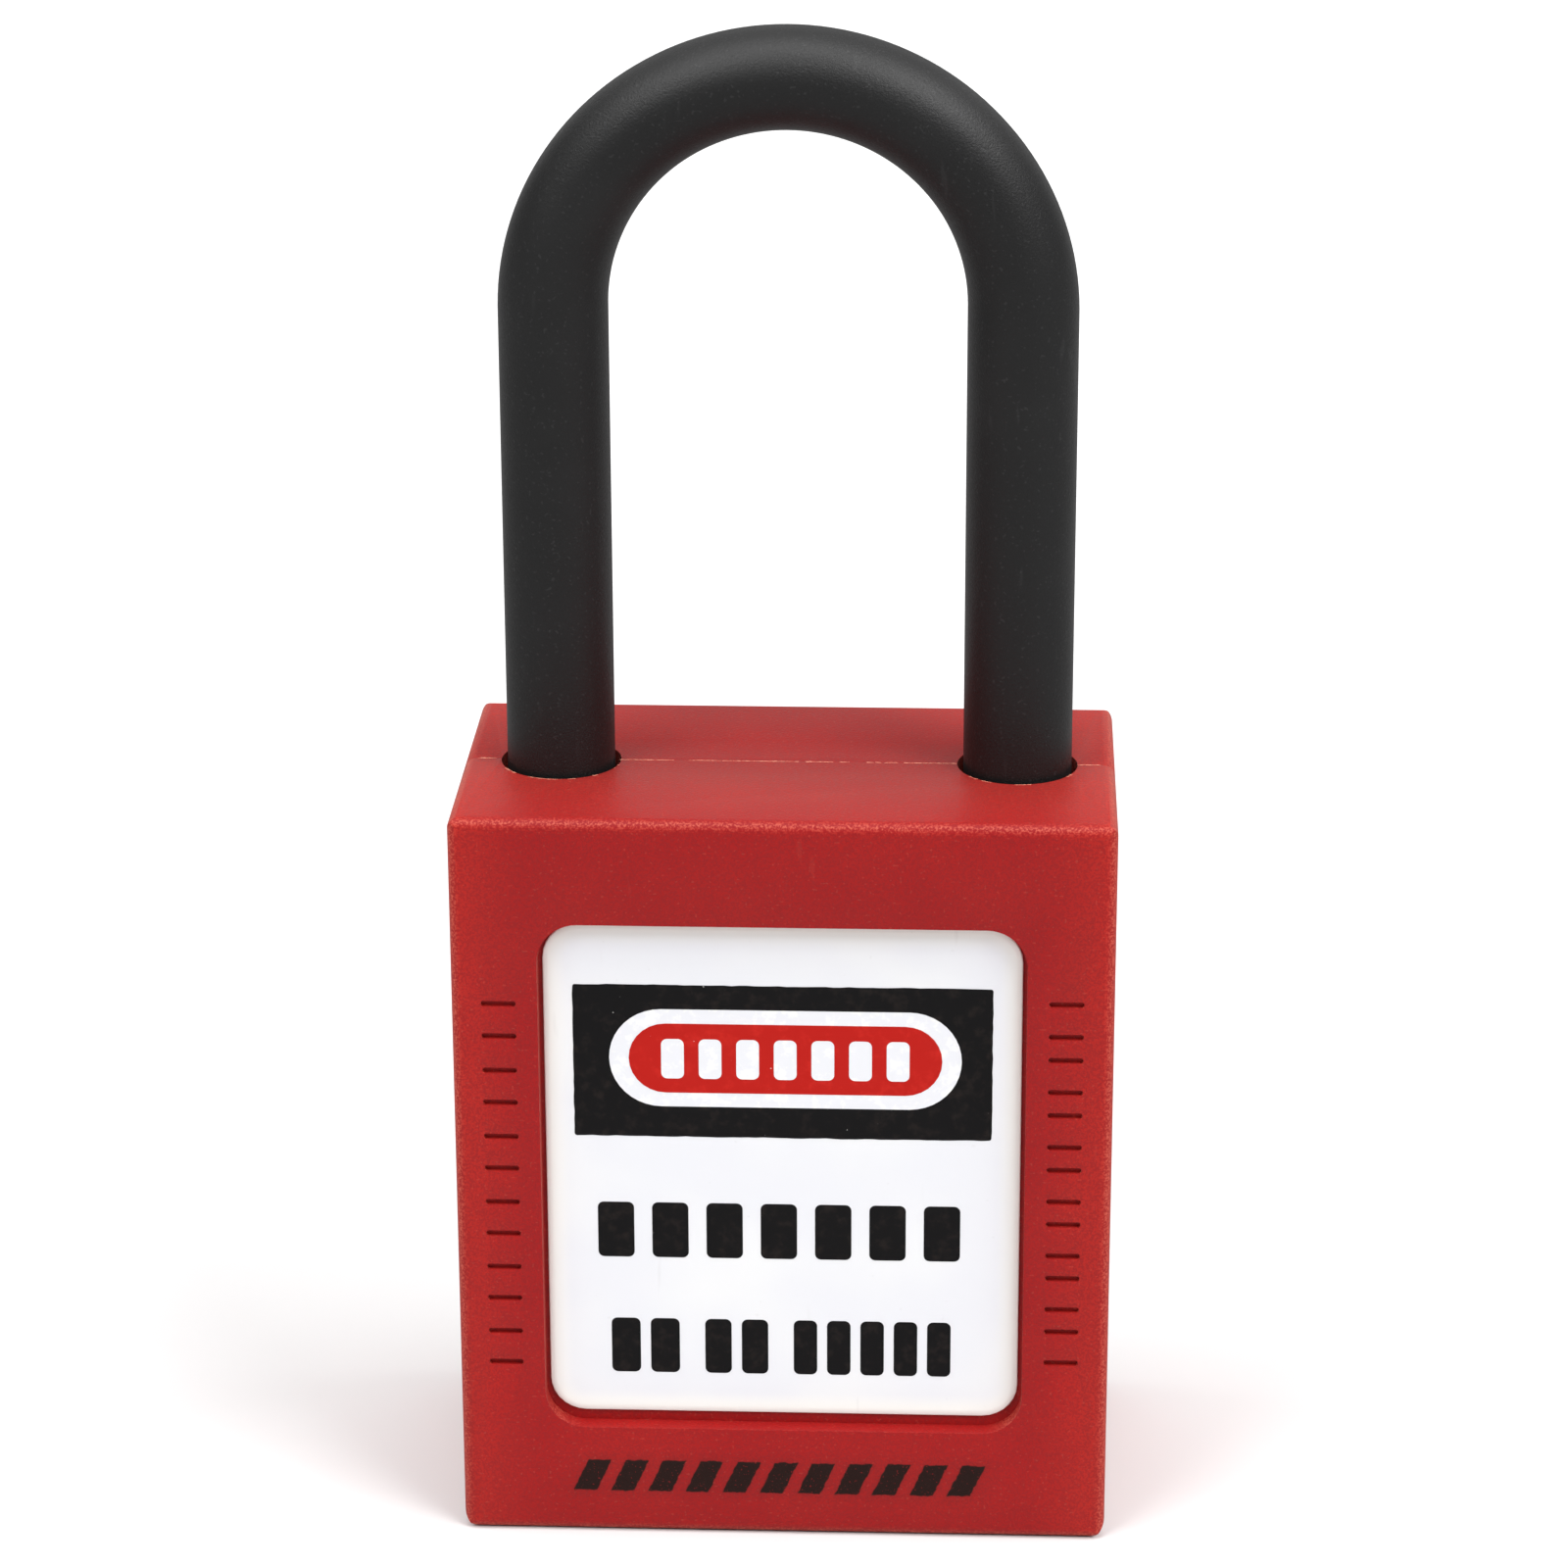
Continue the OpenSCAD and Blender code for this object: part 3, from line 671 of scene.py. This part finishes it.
def straight_rod():
    """The rod before it is bent, from the heel tip at 0 to the toe tip."""
    bend_start = BEND_Z - HEEL_TIP_Z
    bend_end = bend_start + math.pi * LEG_X
    total = bend_end + BEND_Z - TOE_TIP_Z

    def heel(z):
        return z - HEEL_TIP_Z

    def toe(z):
        return bend_end + BEND_Z - z

    def spread(start, end, rings, first):
        return [(start + (end - start) * k / rings, "full") for k in range(first, rings + 1)]

    flat_end, notch_start, notch_end = heel(FLAT_Z[1]), toe(NOTCH_Z[1]), toe(NOTCH_Z[0])
    stations = [(0.0, "chamfer"), (TIP_CHAMFER, "full"), (heel(NECK_Z[0]), "full"),
                (heel(NECK_Z[0]), "neck"), (heel(NECK_Z[1]), "neck"), (heel(FLAT_Z[0]), "flat"),
                (flat_end, "flat"), (flat_end, "full")]
    stations += spread(flat_end, bend_start, HEEL_RINGS, 1)[:-1]
    stations += spread(bend_start, bend_end, BEND_RINGS, 0)
    stations += spread(bend_end, notch_start, TOE_RINGS, 1)
    stations += [(notch_start, "notch"), (notch_end, "notch"), (notch_end, "full"),
                 (total - TIP_CHAMFER, "full"), (total, "chamfer")]
    rings = [rod_ring(s, cut) for s, cut in stations]
    points = [point for ring in rings for point in ring]
    n = ROD_SIDES
    faces = [tuple(reversed(range(n))), tuple(range(len(points) - n, len(points)))]
    for k in range(len(rings) - 1):
        for j in range(n):
            a, b = k * n + j, k * n + (j + 1) % n
            faces.append((a, b, b + n, a + n))
    mesh = bpy.data.meshes.new("straight_rod")
    mesh.from_pydata(points, [], faces)
    bm = bmesh.new()
    bm.from_mesh(mesh)
    bmesh.ops.remove_doubles(bm, verts=bm.verts, dist=0.0005 * MM)
    bm.to_mesh(mesh)
    bm.free()
    return mesh


def bending_tree():
    """Bends a straight rod along Z round half a turn, from a leg at -X to a leg at +X."""
    tree, given, result = geometry_tree("bend_rod", (
        ("Bend radius", "f"), ("Bend rise", "f"), ("Bend start", "f"), ("Start height", "f"),
        ("Thinning", "f"), ("Material", "m")))
    split = add(tree, "ShaderNodeSeparateXYZ", {0: add(tree, "GeometryNodeInputPosition").outputs[0]})
    out, across, along = split.outputs
    arc = calc(tree, "MULTIPLY", given["Bend radius"], math.pi)
    past = calc(tree, "SUBTRACT", along, given["Bend start"])
    angle = calc(tree, "MULTIPLY", calc(tree, "DIVIDE", past, arc, clamp=True), math.pi)
    sine, cosine = calc(tree, "SINE", angle), calc(tree, "COSINE", angle)
    before = calc(tree, "MAXIMUM", calc(tree, "MULTIPLY", past, -1.0), 0.0)
    after = calc(tree, "MAXIMUM", calc(tree, "SUBTRACT", past, arc), 0.0)
    thin = calc(tree, "SUBTRACT", 1.0, calc(tree, "MULTIPLY", sine, given["Thinning"]))
    offset = calc(tree, "MULTIPLY", out, thin)
    reach = calc(tree, "ADD", given["Bend radius"], offset)
    rise = calc(tree, "ADD", given["Bend rise"], offset)
    x = calc(tree, "MULTIPLY", calc(tree, "MULTIPLY", cosine, reach), -1.0)
    level = calc(tree, "ADD", given["Start height"], given["Bend start"])
    z = calc(tree, "ADD", level, calc(tree, "MULTIPLY", sine, rise))
    z = calc(tree, "SUBTRACT", z, calc(tree, "ADD", before, after))
    move = add(tree, "GeometryNodeSetPosition", {
        "Geometry": given["Geometry"], "Position": join_vector(tree, x, across, z)})
    finish_tree(tree, move.outputs["Geometry"], given["Material"], result)
    return tree


def black_nylon():
    """Black nylon with paler specks and scuffs."""
    material = plain_material("black_nylon", BLACK, 0.45)
    tree = material.node_tree
    shader = tree.nodes["Principled BSDF"]
    shader.inputs["Specular IOR Level"].default_value = BLACK_SPECULAR
    place = add(tree, "ShaderNodeTexCoord").outputs["Object"]
    grain = use_group(tree, GRAIN, place, Grains_per_mm=BLACK_GRAINS_PER_MM)
    marks = use_group(tree, MARKS, place, Amount=0.20)["Marks"]
    pale = calc(tree, "ADD", calc(tree, "MULTIPLY", grain["Specks"], 0.35), marks, clamp=True)
    cloudy = calc(tree, "MULTIPLY", ramp(tree, grain["Clouds"], 0.45, 0.8), 0.08)
    pale = calc(tree, "ADD", pale, cloudy, clamp=True)
    feed(tree, shader.inputs["Base Color"], blend_colour(tree, pale, BLACK, BLACK_PALE))
    swing = calc(tree, "MULTIPLY", grain["Grain"], BLACK_ROUGHNESS_SWING)
    feed(tree, shader.inputs["Roughness"], calc(tree, "ADD", swing, BLACK_ROUGHNESS))
    bump(tree, shader, grain["Grain"], 0.9, 0.03 * MM)
    return material


shackle = grow("shackle_bow", bending_tree(), straight_rod(),
               {"Bend radius": LEG_X, "Bend rise": BEND_RISE, "Bend start": BEND_Z - HEEL_TIP_Z,
                "Start height": HEEL_TIP_Z, "Thinning": THINNING, "Material": black_nylon()})
round_edges(shackle, SHACKLE_EDGE, angle=30)
keep_inside(shackle, "shackle")
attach(shackle, "shackle")
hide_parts("shackle")


# ---- Labels ----
# Thick white vinyl stickers with rounded rims lie in a recess on each side of the body and
# are screen printed. Rows of plain blocks stand where a maker would print words, and the
# rear one has ruled lines to write on.

LABEL_CORNER = 2.1 * MM
OUTLINE_STEP = 0.45 * MM
BORDER_WIDTH = 1.5 * MM
INK_STEP = 0.012 * MM
INK_SUNK = 0.004 * MM
INK_LIFT = 0.0005 * MM
ROW_CORNER, LINE_CORNER = 0.35 * MM, 0.1 * MM
RAGGED, RAGGED_SCALE = 0.05 * MM, 1400
LINE_WIDTH, LINE_HALF_LENGTH = 0.3 * MM, 11.5 * MM
VINYL_WHITE = (0.785, 0.79, 0.825)
# A warm white, brighter than VINYL_WHITE: along the label's rim its extra brightness is painted light.
VINYL_WARM = (0.91, 0.91, 0.87)
VINYL_SCUFF = (0.45, 0.43, 0.42)
# The sticker's rim, as insets from its outline and drops below its face.
STICKER_RIM = ((0, 0.07 * MM), (0.02 * MM, 0.03 * MM), (0.07 * MM, 0), (0.4 * MM, 0),
               (0.9 * MM, 0), (BORDER_WIDTH, 0))


def outline(box, corner):
    """Points round a rounded box (x0, x1, z0, z1), evenly spaced and anticlockwise."""
    x0, x1, z0, z1 = box
    r = corner
    corners = ((x1 - r, z0 + r, -90), (x1 - r, z1 - r, 0), (x0 + r, z1 - r, 90), (x0 + r, z0 + r, 180))
    steps = max(4, int(r * math.pi / 2 / OUTLINE_STEP))
    spots = []
    for cx, cz, start in corners:
        for k in range(steps + 1):
            a = math.radians(start + 90 * k / steps)
            spots.append((cx + r * math.cos(a), cz + r * math.sin(a)))
    points = []
    for (xa, za), (xb, zb) in zip(spots, spots[1:] + spots[:1]):
        pieces = max(1, round(math.hypot(xb - xa, zb - za) / OUTLINE_STEP))
        points += [(xa + (xb - xa) * k / pieces, za + (zb - za) * k / pieces) for k in range(pieces)]
    return points


def card(name, box, corner, layers, side=-1, ragged=0.0):
    """A closed plate on the front (side -1) or rear (+1) from layers of (inset, depth)."""
    base = outline(box, corner)
    bm = bmesh.new()
    border = bm.verts.layers.float.new("border")
    rings = []
    for inset, depth in layers:
        ring = []
        for x, z in base:
            shift = noise.noise(Vector((x, z, 0)) * RAGGED_SCALE) * ragged
            nearest = Vector((min(max(x, box[0] + corner), box[1] - corner),
                              min(max(z, box[2] + corner), box[3] - corner)))
            away = (Vector((x, z)) - nearest).normalized()
            spot = Vector((x, z)) - away * (inset + shift)
            vertex = bm.verts.new((spot.x, side * depth, spot.y))
            vertex[border] = 1 - min(inset / BORDER_WIDTH, 1.0)
            ring.append(vertex)
        rings.append(ring)
    for lower, upper in zip(rings, rings[1:]):
        for k in range(len(base)):
            j = (k + 1) % len(base)
            bm.faces.new((lower[k], lower[j], upper[j], upper[k]))
    bm.faces.new(rings[0])
    bm.faces.new(rings[-1])
    bmesh.ops.recalc_face_normals(bm, faces=bm.faces)
    mesh = bpy.data.meshes.new(name)
    bm.to_mesh(mesh)
    bm.free()
    for polygon in mesh.polygons:
        polygon.use_smooth = True
    mesh.set_sharp_from_angle(angle=math.radians(35))
    return link_mesh(name, mesh)


def vinyl():
    """White vinyl, warmer and brighter along its rim, the extra brightness being painted light, and warmer in
    slow patches.
    """
    material = plain_material("label_vinyl", VINYL_WHITE, 0.4)
    tree = material.node_tree
    shader = tree.nodes["Principled BSDF"]
    shader.inputs["Specular IOR Level"].default_value = 0.4
    place = add(tree, "ShaderNodeTexCoord").outputs["Object"]
    marks = use_group(tree, MARKS, place, Amount=0.10)["Marks"]
    border = add(tree, "ShaderNodeAttribute", attribute_name="border").outputs["Fac"]
    # Painted light: the rim is painted brighter than the middle against the shade of the recess's walls; its
    # warm tint is the sticker's own.
    tone = blend_colour(tree, ramp(tree, border, 0.0, 0.9), VINYL_WHITE, VINYL_WARM)
    slow = ramp(tree, cloud(tree, place, 120.0), 0.4, 0.75)
    tone = blend_colour(tree, calc(tree, "MULTIPLY", slow, 0.35), tone, VINYL_WARM)
    feed(tree, shader.inputs["Base Color"], blend_colour(tree, marks, tone, VINYL_SCUFF))
    feed(tree, shader.inputs["Roughness"], calc(tree, "ADD", calc(tree, "MULTIPLY", slow, 0.12), 0.30))
    bump(tree, shader, cloud(tree, place, 900.0), 0.10, 0.02 * MM)
    return material


def ink(name, colour, worn_colour):
    """Screen printed ink: a little mottled where the mesh of the screen left it thin."""
    material = plain_material(name, colour, 0.5)
    tree = material.node_tree
    shader = tree.nodes["Principled BSDF"]
    shader.inputs["Specular IOR Level"].default_value = 0.15
    place = add(tree, "ShaderNodeTexCoord").outputs["Object"]
    mottle = ramp(tree, cloud(tree, place, 1500.0, 3.0, 0.6), 0.48, 0.75)
    pinholes = ramp(tree, cloud(tree, place, 5200.0, 1.0), 0.79, 0.84)
    tone = blend_colour(tree, mottle, colour, worn_colour)
    feed(tree, shader.inputs["Base Color"], blend_colour(tree, pinholes, tone, VINYL_WARM))
    feed(tree, shader.inputs["Roughness"], calc(tree, "ADD", calc(tree, "MULTIPLY", mottle, 0.2), 0.36))
    bump(tree, shader, mottle, 0.15, 0.01 * MM)
    return material


def print_row_tree():
    """A row of equal rounded blocks of ink, in the XY plane and then turned upright."""
    tree, given, result = geometry_tree("print_row", (
        ("Count", "i"), ("Pitch", "f"), ("Width", "f"), ("Height", "f"), ("Corner", "f"), ("Depth", "f"),
        ("Start", "v"), ("Turn", "v"), ("Material", "m")))
    block = add(tree, "GeometryNodeCurvePrimitiveQuadrilateral", {
        "Width": given["Width"], "Height": given["Height"]}, mode="RECTANGLE")
    fillet = add(tree, "GeometryNodeFilletCurve", {
        "Curve": block.outputs["Curve"], "Radius": given["Corner"], "Count": 5}, mode="POLY")
    fill = add(tree, "GeometryNodeFillCurve", {"Curve": fillet.outputs["Curve"]}, mode="NGONS")
    raised = add(tree, "GeometryNodeExtrudeMesh", {
        "Mesh": fill.outputs["Mesh"], "Offset Scale": given["Depth"]}, mode="FACES")
    back = add(tree, "GeometryNodeFlipFaces", {"Mesh": fill.outputs["Mesh"]})
    closed = add(tree, "GeometryNodeJoinGeometry")
    tree.links.new(raised.outputs["Mesh"], closed.inputs["Geometry"])
    tree.links.new(back.outputs["Mesh"], closed.inputs["Geometry"])
    weld = add(tree, "GeometryNodeMergeByDistance", {
        "Geometry": closed.outputs["Geometry"], "Distance": TINY_EDGE})
    row = add(tree, "GeometryNodeMeshLine", {
        "Count": given["Count"], "Offset": join_vector(tree, given["Pitch"], 0.0, 0.0)}, mode="OFFSET")
    strew = add(tree, "GeometryNodeInstanceOnPoints", {
        "Points": row.outputs["Mesh"], "Instance": weld.outputs["Geometry"]})
    upright = add(tree, "GeometryNodeTransform", {
        "Geometry": strew.outputs["Instances"], "Translation": given["Start"], "Rotation": given["Turn"]})
    finish_tree(tree, upright.outputs["Geometry"], given["Material"], result)
    return tree


PRINT_ROW = print_row_tree()
VINYL = vinyl()
INK_BLACK = ink("ink_black", (0.0065, 0.006, 0.0065), (0.016, 0.012, 0.011))
INK_RED = ink("ink_red", (0.47, 0.008, 0.004), (0.54, 0.014, 0.008))
INK_WHITE = ink("ink_white", VINYL_WHITE, VINYL_WARM)


def printed_row(name, side, level, left, right, low, high, count, gap, material, corner=ROW_CORNER):
    """A row of blocks that fills left..right and low..high, on the label's given ink level."""
    pitch = (right - left + gap) / count
    start_x = left + (pitch - gap) / 2
    depth = level + INK_LIFT
    turn = (math.pi / 2, 0, 0) if side < 0 else (math.pi / 2, 0, math.pi)
    return grow(name, PRINT_ROW, None, {
        "Count": count, "Pitch": pitch, "Width": pitch - gap, "Height": high - low, "Corner": corner,
        "Depth": INK_STEP, "Start": (-side * start_x, side * depth, (low + high) / 2), "Turn": turn,
        "Material": material})


def label_piece(piece, material=None, node=None):
    """Says how a piece of a label rides, and gives it a material if it has none yet."""
    if material:
        piece.data.materials.clear()
        piece.data.materials.append(material)
    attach(piece, "body")
    if node:
        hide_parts(node)


for node, side in (("front_label", -1), ("rear_label", 1)):
    low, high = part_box(node)
    back, face = sorted((abs(low[1]), abs(high[1])))
    layers = [(0, back)] + [(inset, face - drop) for inset, drop in STICKER_RIM]
    sticker = card(node + "_sticker", (low[0], high[0], low[2], high[2]), LABEL_CORNER, layers, side)
    label_piece(sticker, VINYL, node)
# How far from the lock's middle each layer of ink starts.
LEVELS = [face + k * INK_STEP for k in range(4)]


def ink_card(name, box, corner, level, material, side=-1, ragged=0.0):
    """A plate of ink on a label; its box and corner are in mm."""
    box = tuple(value * MM for value in box)
    layers = ((0, LEVELS[level] - INK_SUNK), (0, LEVELS[level] + INK_STEP))
    label_piece(card(name, box, corner * MM, layers, side, ragged), material)


ink_card("front_header", (-12.07, 12.07, 25.3, 34.75), 0.15, 0, INK_BLACK, ragged=RAGGED)
ink_card("front_badge_rim", (-10.0, 10.3, 27.2, 33.25), 3.02, 1, INK_WHITE)
ink_card("front_badge", (-8.87, 9.18, 28.07, 32.37), 2.14, 2, INK_RED)
# Each row's name, ink level, left, right, bottom and top in mm, blocks, gap in mm and ink.
FRONT_ROWS = (
    ("front_badge_row", 3, -7.0, 7.3, 28.96, 31.42, 7, 0.85, INK_WHITE),
    ("front_row_upper", 0, -10.8, 10.3, 17.6, 21.1, 7, 1.05, INK_BLACK),
    ("front_row_lower_a", 0, -10.1, -6.1, 10.15, 13.65, 2, 0.60, INK_BLACK),
    ("front_row_lower_b", 0, -4.6, -0.9, 10.15, 13.65, 2, 0.60, INK_BLACK),
    ("front_row_lower_c", 0, 0.6, 9.8, 10.15, 13.65, 5, 0.58, INK_BLACK),
)
for name, level, left, right, bottom, top, count, gap, material in FRONT_ROWS:
    left, right, bottom, top, gap = (value * MM for value in (left, right, bottom, top, gap))
    row = printed_row(name, -1, LEVELS[level], left, right, bottom, top, count, gap, material)
    label_piece(row)

ink_card("rear_header", (-12.07, 12.07, 31.4, 34.95), 0.15, 0, INK_BLACK, side=1, ragged=RAGGED)
for number, height in enumerate((26.5, 21.5, 16.5, 11.5)):
    ruled = printed_row(f"rear_line_{number + 1}", 1, LEVELS[0], -LINE_HALF_LENGTH, LINE_HALF_LENGTH,
                        height * MM, height * MM + LINE_WIDTH, 1, 0.0, INK_BLACK, corner=LINE_CORNER)
    label_piece(ruled)


# ---- Lock works ----
# Inside the body sit a brass cylinder with its plug and pin stacks, a die-cast cam that
# throws a steel bolt into the shackle's notch, and the plated pins and screws that hold
# them. They are turned, milled or cast, and their edges are left just broken.

WORK_EDGE = 0.07 * MM
CUT_DEPTH, CAST_DEPTH = 0.008 * MM, 0.02 * MM
# How much brighter the painted highlight on a metal part's rounded edges is.
EDGE_HIGHLIGHT_GAIN = 1.25


def tool_marks():
    """What a cutting tool leaves: fine parallel lines and a slow tarnish."""
    group, given, result = shader_group("tool_marks", ("Vector", "Lines", "Tarnish"),
                                        ("Cut", "Stain", "Rough"))
    lines = cloud(group, given["Vector"], 1.0, 2.0, 0.6)
    slow = cloud(group, given["Vector"], 0.06, 3.0, 0.6)
    feed(group, result["Cut"], calc(group, "MULTIPLY", lines, given["Lines"]))
    stain = calc(group, "MULTIPLY", ramp(group, slow, 0.42, 0.78), given["Tarnish"])
    feed(group, result["Stain"], stain)
    scored = calc(group, "MULTIPLY", lines, 0.16)
    feed(group, result["Rough"], calc(group, "ADD", scored, calc(group, "MULTIPLY", stain, 0.2)))
    return group


TOOL_MARKS = tool_marks()
# The lines of a cut, as noise scales along X, Y and Z: rings round an axis, or a cast skin.
ROUND_Z = (260, 260, 7000)
ROUND_Y = (260, 7000, 260)
ROUND_X = (7000, 260, 260)
MILLED = (420, 420, 5200)
CAST = (2400, 2400, 2400)


def metal(name, colour, stain, roughness, lines, tarnish, depth=CUT_DEPTH):
    """A machined or cast metal: lines are the noise scales of its cut along X, Y and Z."""
    material = plain_material(name, colour, roughness)
    tree = material.node_tree
    shader = tree.nodes["Principled BSDF"]
    shader.inputs["Metallic"].default_value = 1.0
    place = add(tree, "ShaderNodeTexCoord").outputs["Object"]
    marks = use_group(tree, TOOL_MARKS, stretched(tree, place, lines), Lines=1.0, Tarnish=tarnish)
    edge = add(tree, "ShaderNodeAttribute", attribute_name="edge").outputs["Fac"]
    # Painted highlight: the rounded edges are painted brighter than the metal itself.
    bright = tuple(min(1.0, c * EDGE_HIGHLIGHT_GAIN) for c in colour)
    tone = blend_colour(tree, marks["Stain"], colour, stain)
    metal_edge_highlight = calc(tree, "MULTIPLY", edge, 0.7)
    feed(tree, shader.inputs["Base Color"], blend_colour(tree, metal_edge_highlight, tone, bright))
    feed(tree, shader.inputs["Roughness"], calc(tree, "ADD", marks["Rough"], roughness))
    bump(tree, shader, marks["Cut"], 0.35, depth)
    return material


BRASS_STAIN = (0.30, 0.19, 0.07)
STEEL_STAIN = (0.24, 0.23, 0.22)
ZINC_STAIN = (0.20, 0.20, 0.21)
HOUSING_BRASS = metal("housing_brass", (0.72, 0.52, 0.22), BRASS_STAIN, 0.24, MILLED, 0.5)
PLUG_BRASS = metal("plug_brass", (0.80, 0.60, 0.28), BRASS_STAIN, 0.18, ROUND_Z, 0.35)
PIN_BRASS = metal("pin_brass", (0.82, 0.62, 0.30), BRASS_STAIN, 0.20, ROUND_Y, 0.25)
PIN_NICKEL = metal("pin_nickel", (0.70, 0.69, 0.66), STEEL_STAIN, 0.18, ROUND_X, 0.25)
BOLT_STEEL = metal("bolt_steel", (0.62, 0.63, 0.64), STEEL_STAIN, 0.26, ROUND_X, 0.35)
HEEL_STEEL = metal("heel_steel", (0.62, 0.63, 0.64), STEEL_STAIN, 0.26, ROUND_Y, 0.35)
SCREW_STEEL = metal("screw_steel", (0.58, 0.60, 0.64), STEEL_STAIN, 0.30, ROUND_Z, 0.35)
CAST_ZINC = metal("cast_zinc", (0.42, 0.43, 0.45), ZINC_STAIN, 0.42, CAST, 0.45, CAST_DEPTH)
CLIP_STEEL = metal("clip_steel", (0.50, 0.50, 0.50), STEEL_STAIN, 0.28, MILLED, 0.4)

# Each piece's node, its body, its material slot and its finish.
WORKS = [
    ("cylinder_housing", "body", "brass", HOUSING_BRASS),
    ("chamber_cover", "body", "brass", HOUSING_BRASS),
    ("plug", "plug", "plug_brass", PLUG_BRASS),
    ("plug_clip", "plug", "spring_steel", CLIP_STEEL),
    ("cam", "plug", "zinc", CAST_ZINC),
    ("cam_screw", "plug", "screw_steel", SCREW_STEEL),
    ("locking_bolt", "bolt", "bolt_steel", BOLT_STEEL),
    ("bolt_pin", "bolt", "bolt_steel", SCREW_STEEL),
    ("heel_pin", "body", "bolt_steel", HEEL_STEEL),
    ("cylinder_screw", "body", "screw_steel", SCREW_STEEL),
]
for number in range(1, 7):
    WORKS.append((f"key_pin_{number}", "plug", "pin_brass", PIN_BRASS))
    WORKS.append((f"driver_pin_{number}", "body", "pin_nickel", PIN_NICKEL))

for node, body, slot_name, finish in WORKS:
    part = merged_copy(node, node + "_finished")
    round_edges(part, WORK_EDGE)
    keep_inside(part, node)
    mark_edges(part)
    part.data.materials.clear()
    part.data.materials.append(finish)
    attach(part, body)
    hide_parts(node)


# ---- Springs ----
# Hard-drawn steel wire, coiled with its end turns closed flat. A stout one under the heel
# lifts the shackle, and six fine ones press the driver pins against the plug.

DRAWN = (1800, 1800, 1800)
PIN_SPRING_TURNS, PIN_SPRING_WIRE_R = 5, 0.17 * MM
LIFT_SPRING_TURNS, LIFT_SPRING_WIRE_R = 6, 0.35 * MM
COIL_STEPS, WIRE_SIDES = 28, 12
WIRE_STEEL = metal("wire_steel", (0.56, 0.56, 0.57), STEEL_STAIN, 0.24, DRAWN, 0.3)


def coil_tree():
    """A compression spring along Z, its first and last turns wound close."""
    tree, given, result = geometry_tree("coil", (
        ("Turns", "f"), ("Coil radius", "f"), ("Wire radius", "f"), ("Length", "f"), ("Start", "v"),
        ("Turn", "v"), ("Material", "m")))
    spiral = add(tree, "GeometryNodeCurveSpiral", {
        "Resolution": COIL_STEPS, "Rotations": given["Turns"], "Start Radius": given["Coil radius"],
        "End Radius": given["Coil radius"], "Height": 0.0})
    along = add(tree, "GeometryNodeSplineParameter").outputs["Factor"]
    wound = calc(tree, "MULTIPLY", along, given["Turns"])
    wire = calc(tree, "MULTIPLY", given["Wire radius"], 2.0)
    open_turns = calc(tree, "SUBTRACT", given["Turns"], 2.0)
    free = calc(tree, "SUBTRACT", given["Length"], calc(tree, "MULTIPLY", wire, 3.0))
    pitch = calc(tree, "DIVIDE", free, open_turns)
    closed = calc(tree, "MULTIPLY", calc(tree, "MINIMUM", wound, 1.0), wire)
    opened = calc(tree, "MAXIMUM", calc(tree, "SUBTRACT", wound, 1.0), 0.0)
    middle = calc(tree, "MINIMUM", opened, open_turns)
    closing = calc(tree, "SUBTRACT", wound, calc(tree, "ADD", open_turns, 1.0))
    last = calc(tree, "MAXIMUM", closing, 0.0)
    z = calc(tree, "ADD", closed, calc(tree, "MULTIPLY", middle, pitch))
    z = calc(tree, "ADD", z, calc(tree, "MULTIPLY", last, wire))
    z = calc(tree, "ADD", z, given["Wire radius"])
    lift = add(tree, "GeometryNodeSetPosition", {
        "Geometry": spiral.outputs["Curve"], "Offset": join_vector(tree, 0.0, 0.0, z)})
    section = add(tree, "GeometryNodeCurvePrimitiveCircle", {
        "Resolution": WIRE_SIDES, "Radius": given["Wire radius"]})
    tube = add(tree, "GeometryNodeCurveToMesh", {
        "Curve": lift.outputs["Geometry"], "Profile Curve": section.outputs["Curve"], "Fill Caps": True})
    place = add(tree, "GeometryNodeTransform", {
        "Geometry": tube.outputs["Mesh"], "Translation": given["Start"], "Rotation": given["Turn"]})
    finish_tree(tree, place.outputs["Geometry"], given["Material"], result)
    return tree


COIL = coil_tree()


def spring(node, turns, wire_r, axis):
    """A coiled spring that fills its CAD node's box along axis 0 (X) or 2 (Z)."""
    low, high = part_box(node)
    coil_r = (high[1] - low[1]) / 2 - wire_r
    start = [(a + b) / 2 for a, b in zip(low, high)]
    start[axis] = low[axis]
    turn = (0, math.pi / 2, 0) if axis == 0 else (0, 0, 0)
    piece = grow(node + "_wire", COIL, None, {
        "Turns": float(turns), "Coil radius": coil_r, "Wire radius": wire_r,
        "Length": high[axis] - low[axis], "Start": tuple(start), "Turn": turn, "Material": WIRE_STEEL})
    for polygon in piece.data.polygons:
        polygon.use_smooth = len(polygon.vertices) == 4
    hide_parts(node)
    return piece


for number in range(1, 7):
    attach(spring(f"pin_spring_{number}", PIN_SPRING_TURNS, PIN_SPRING_WIRE_R, 0), "body")
lift_spring = spring("lift_spring", LIFT_SPRING_TURNS, LIFT_SPRING_WIRE_R, 2)
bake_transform(lift_spring)
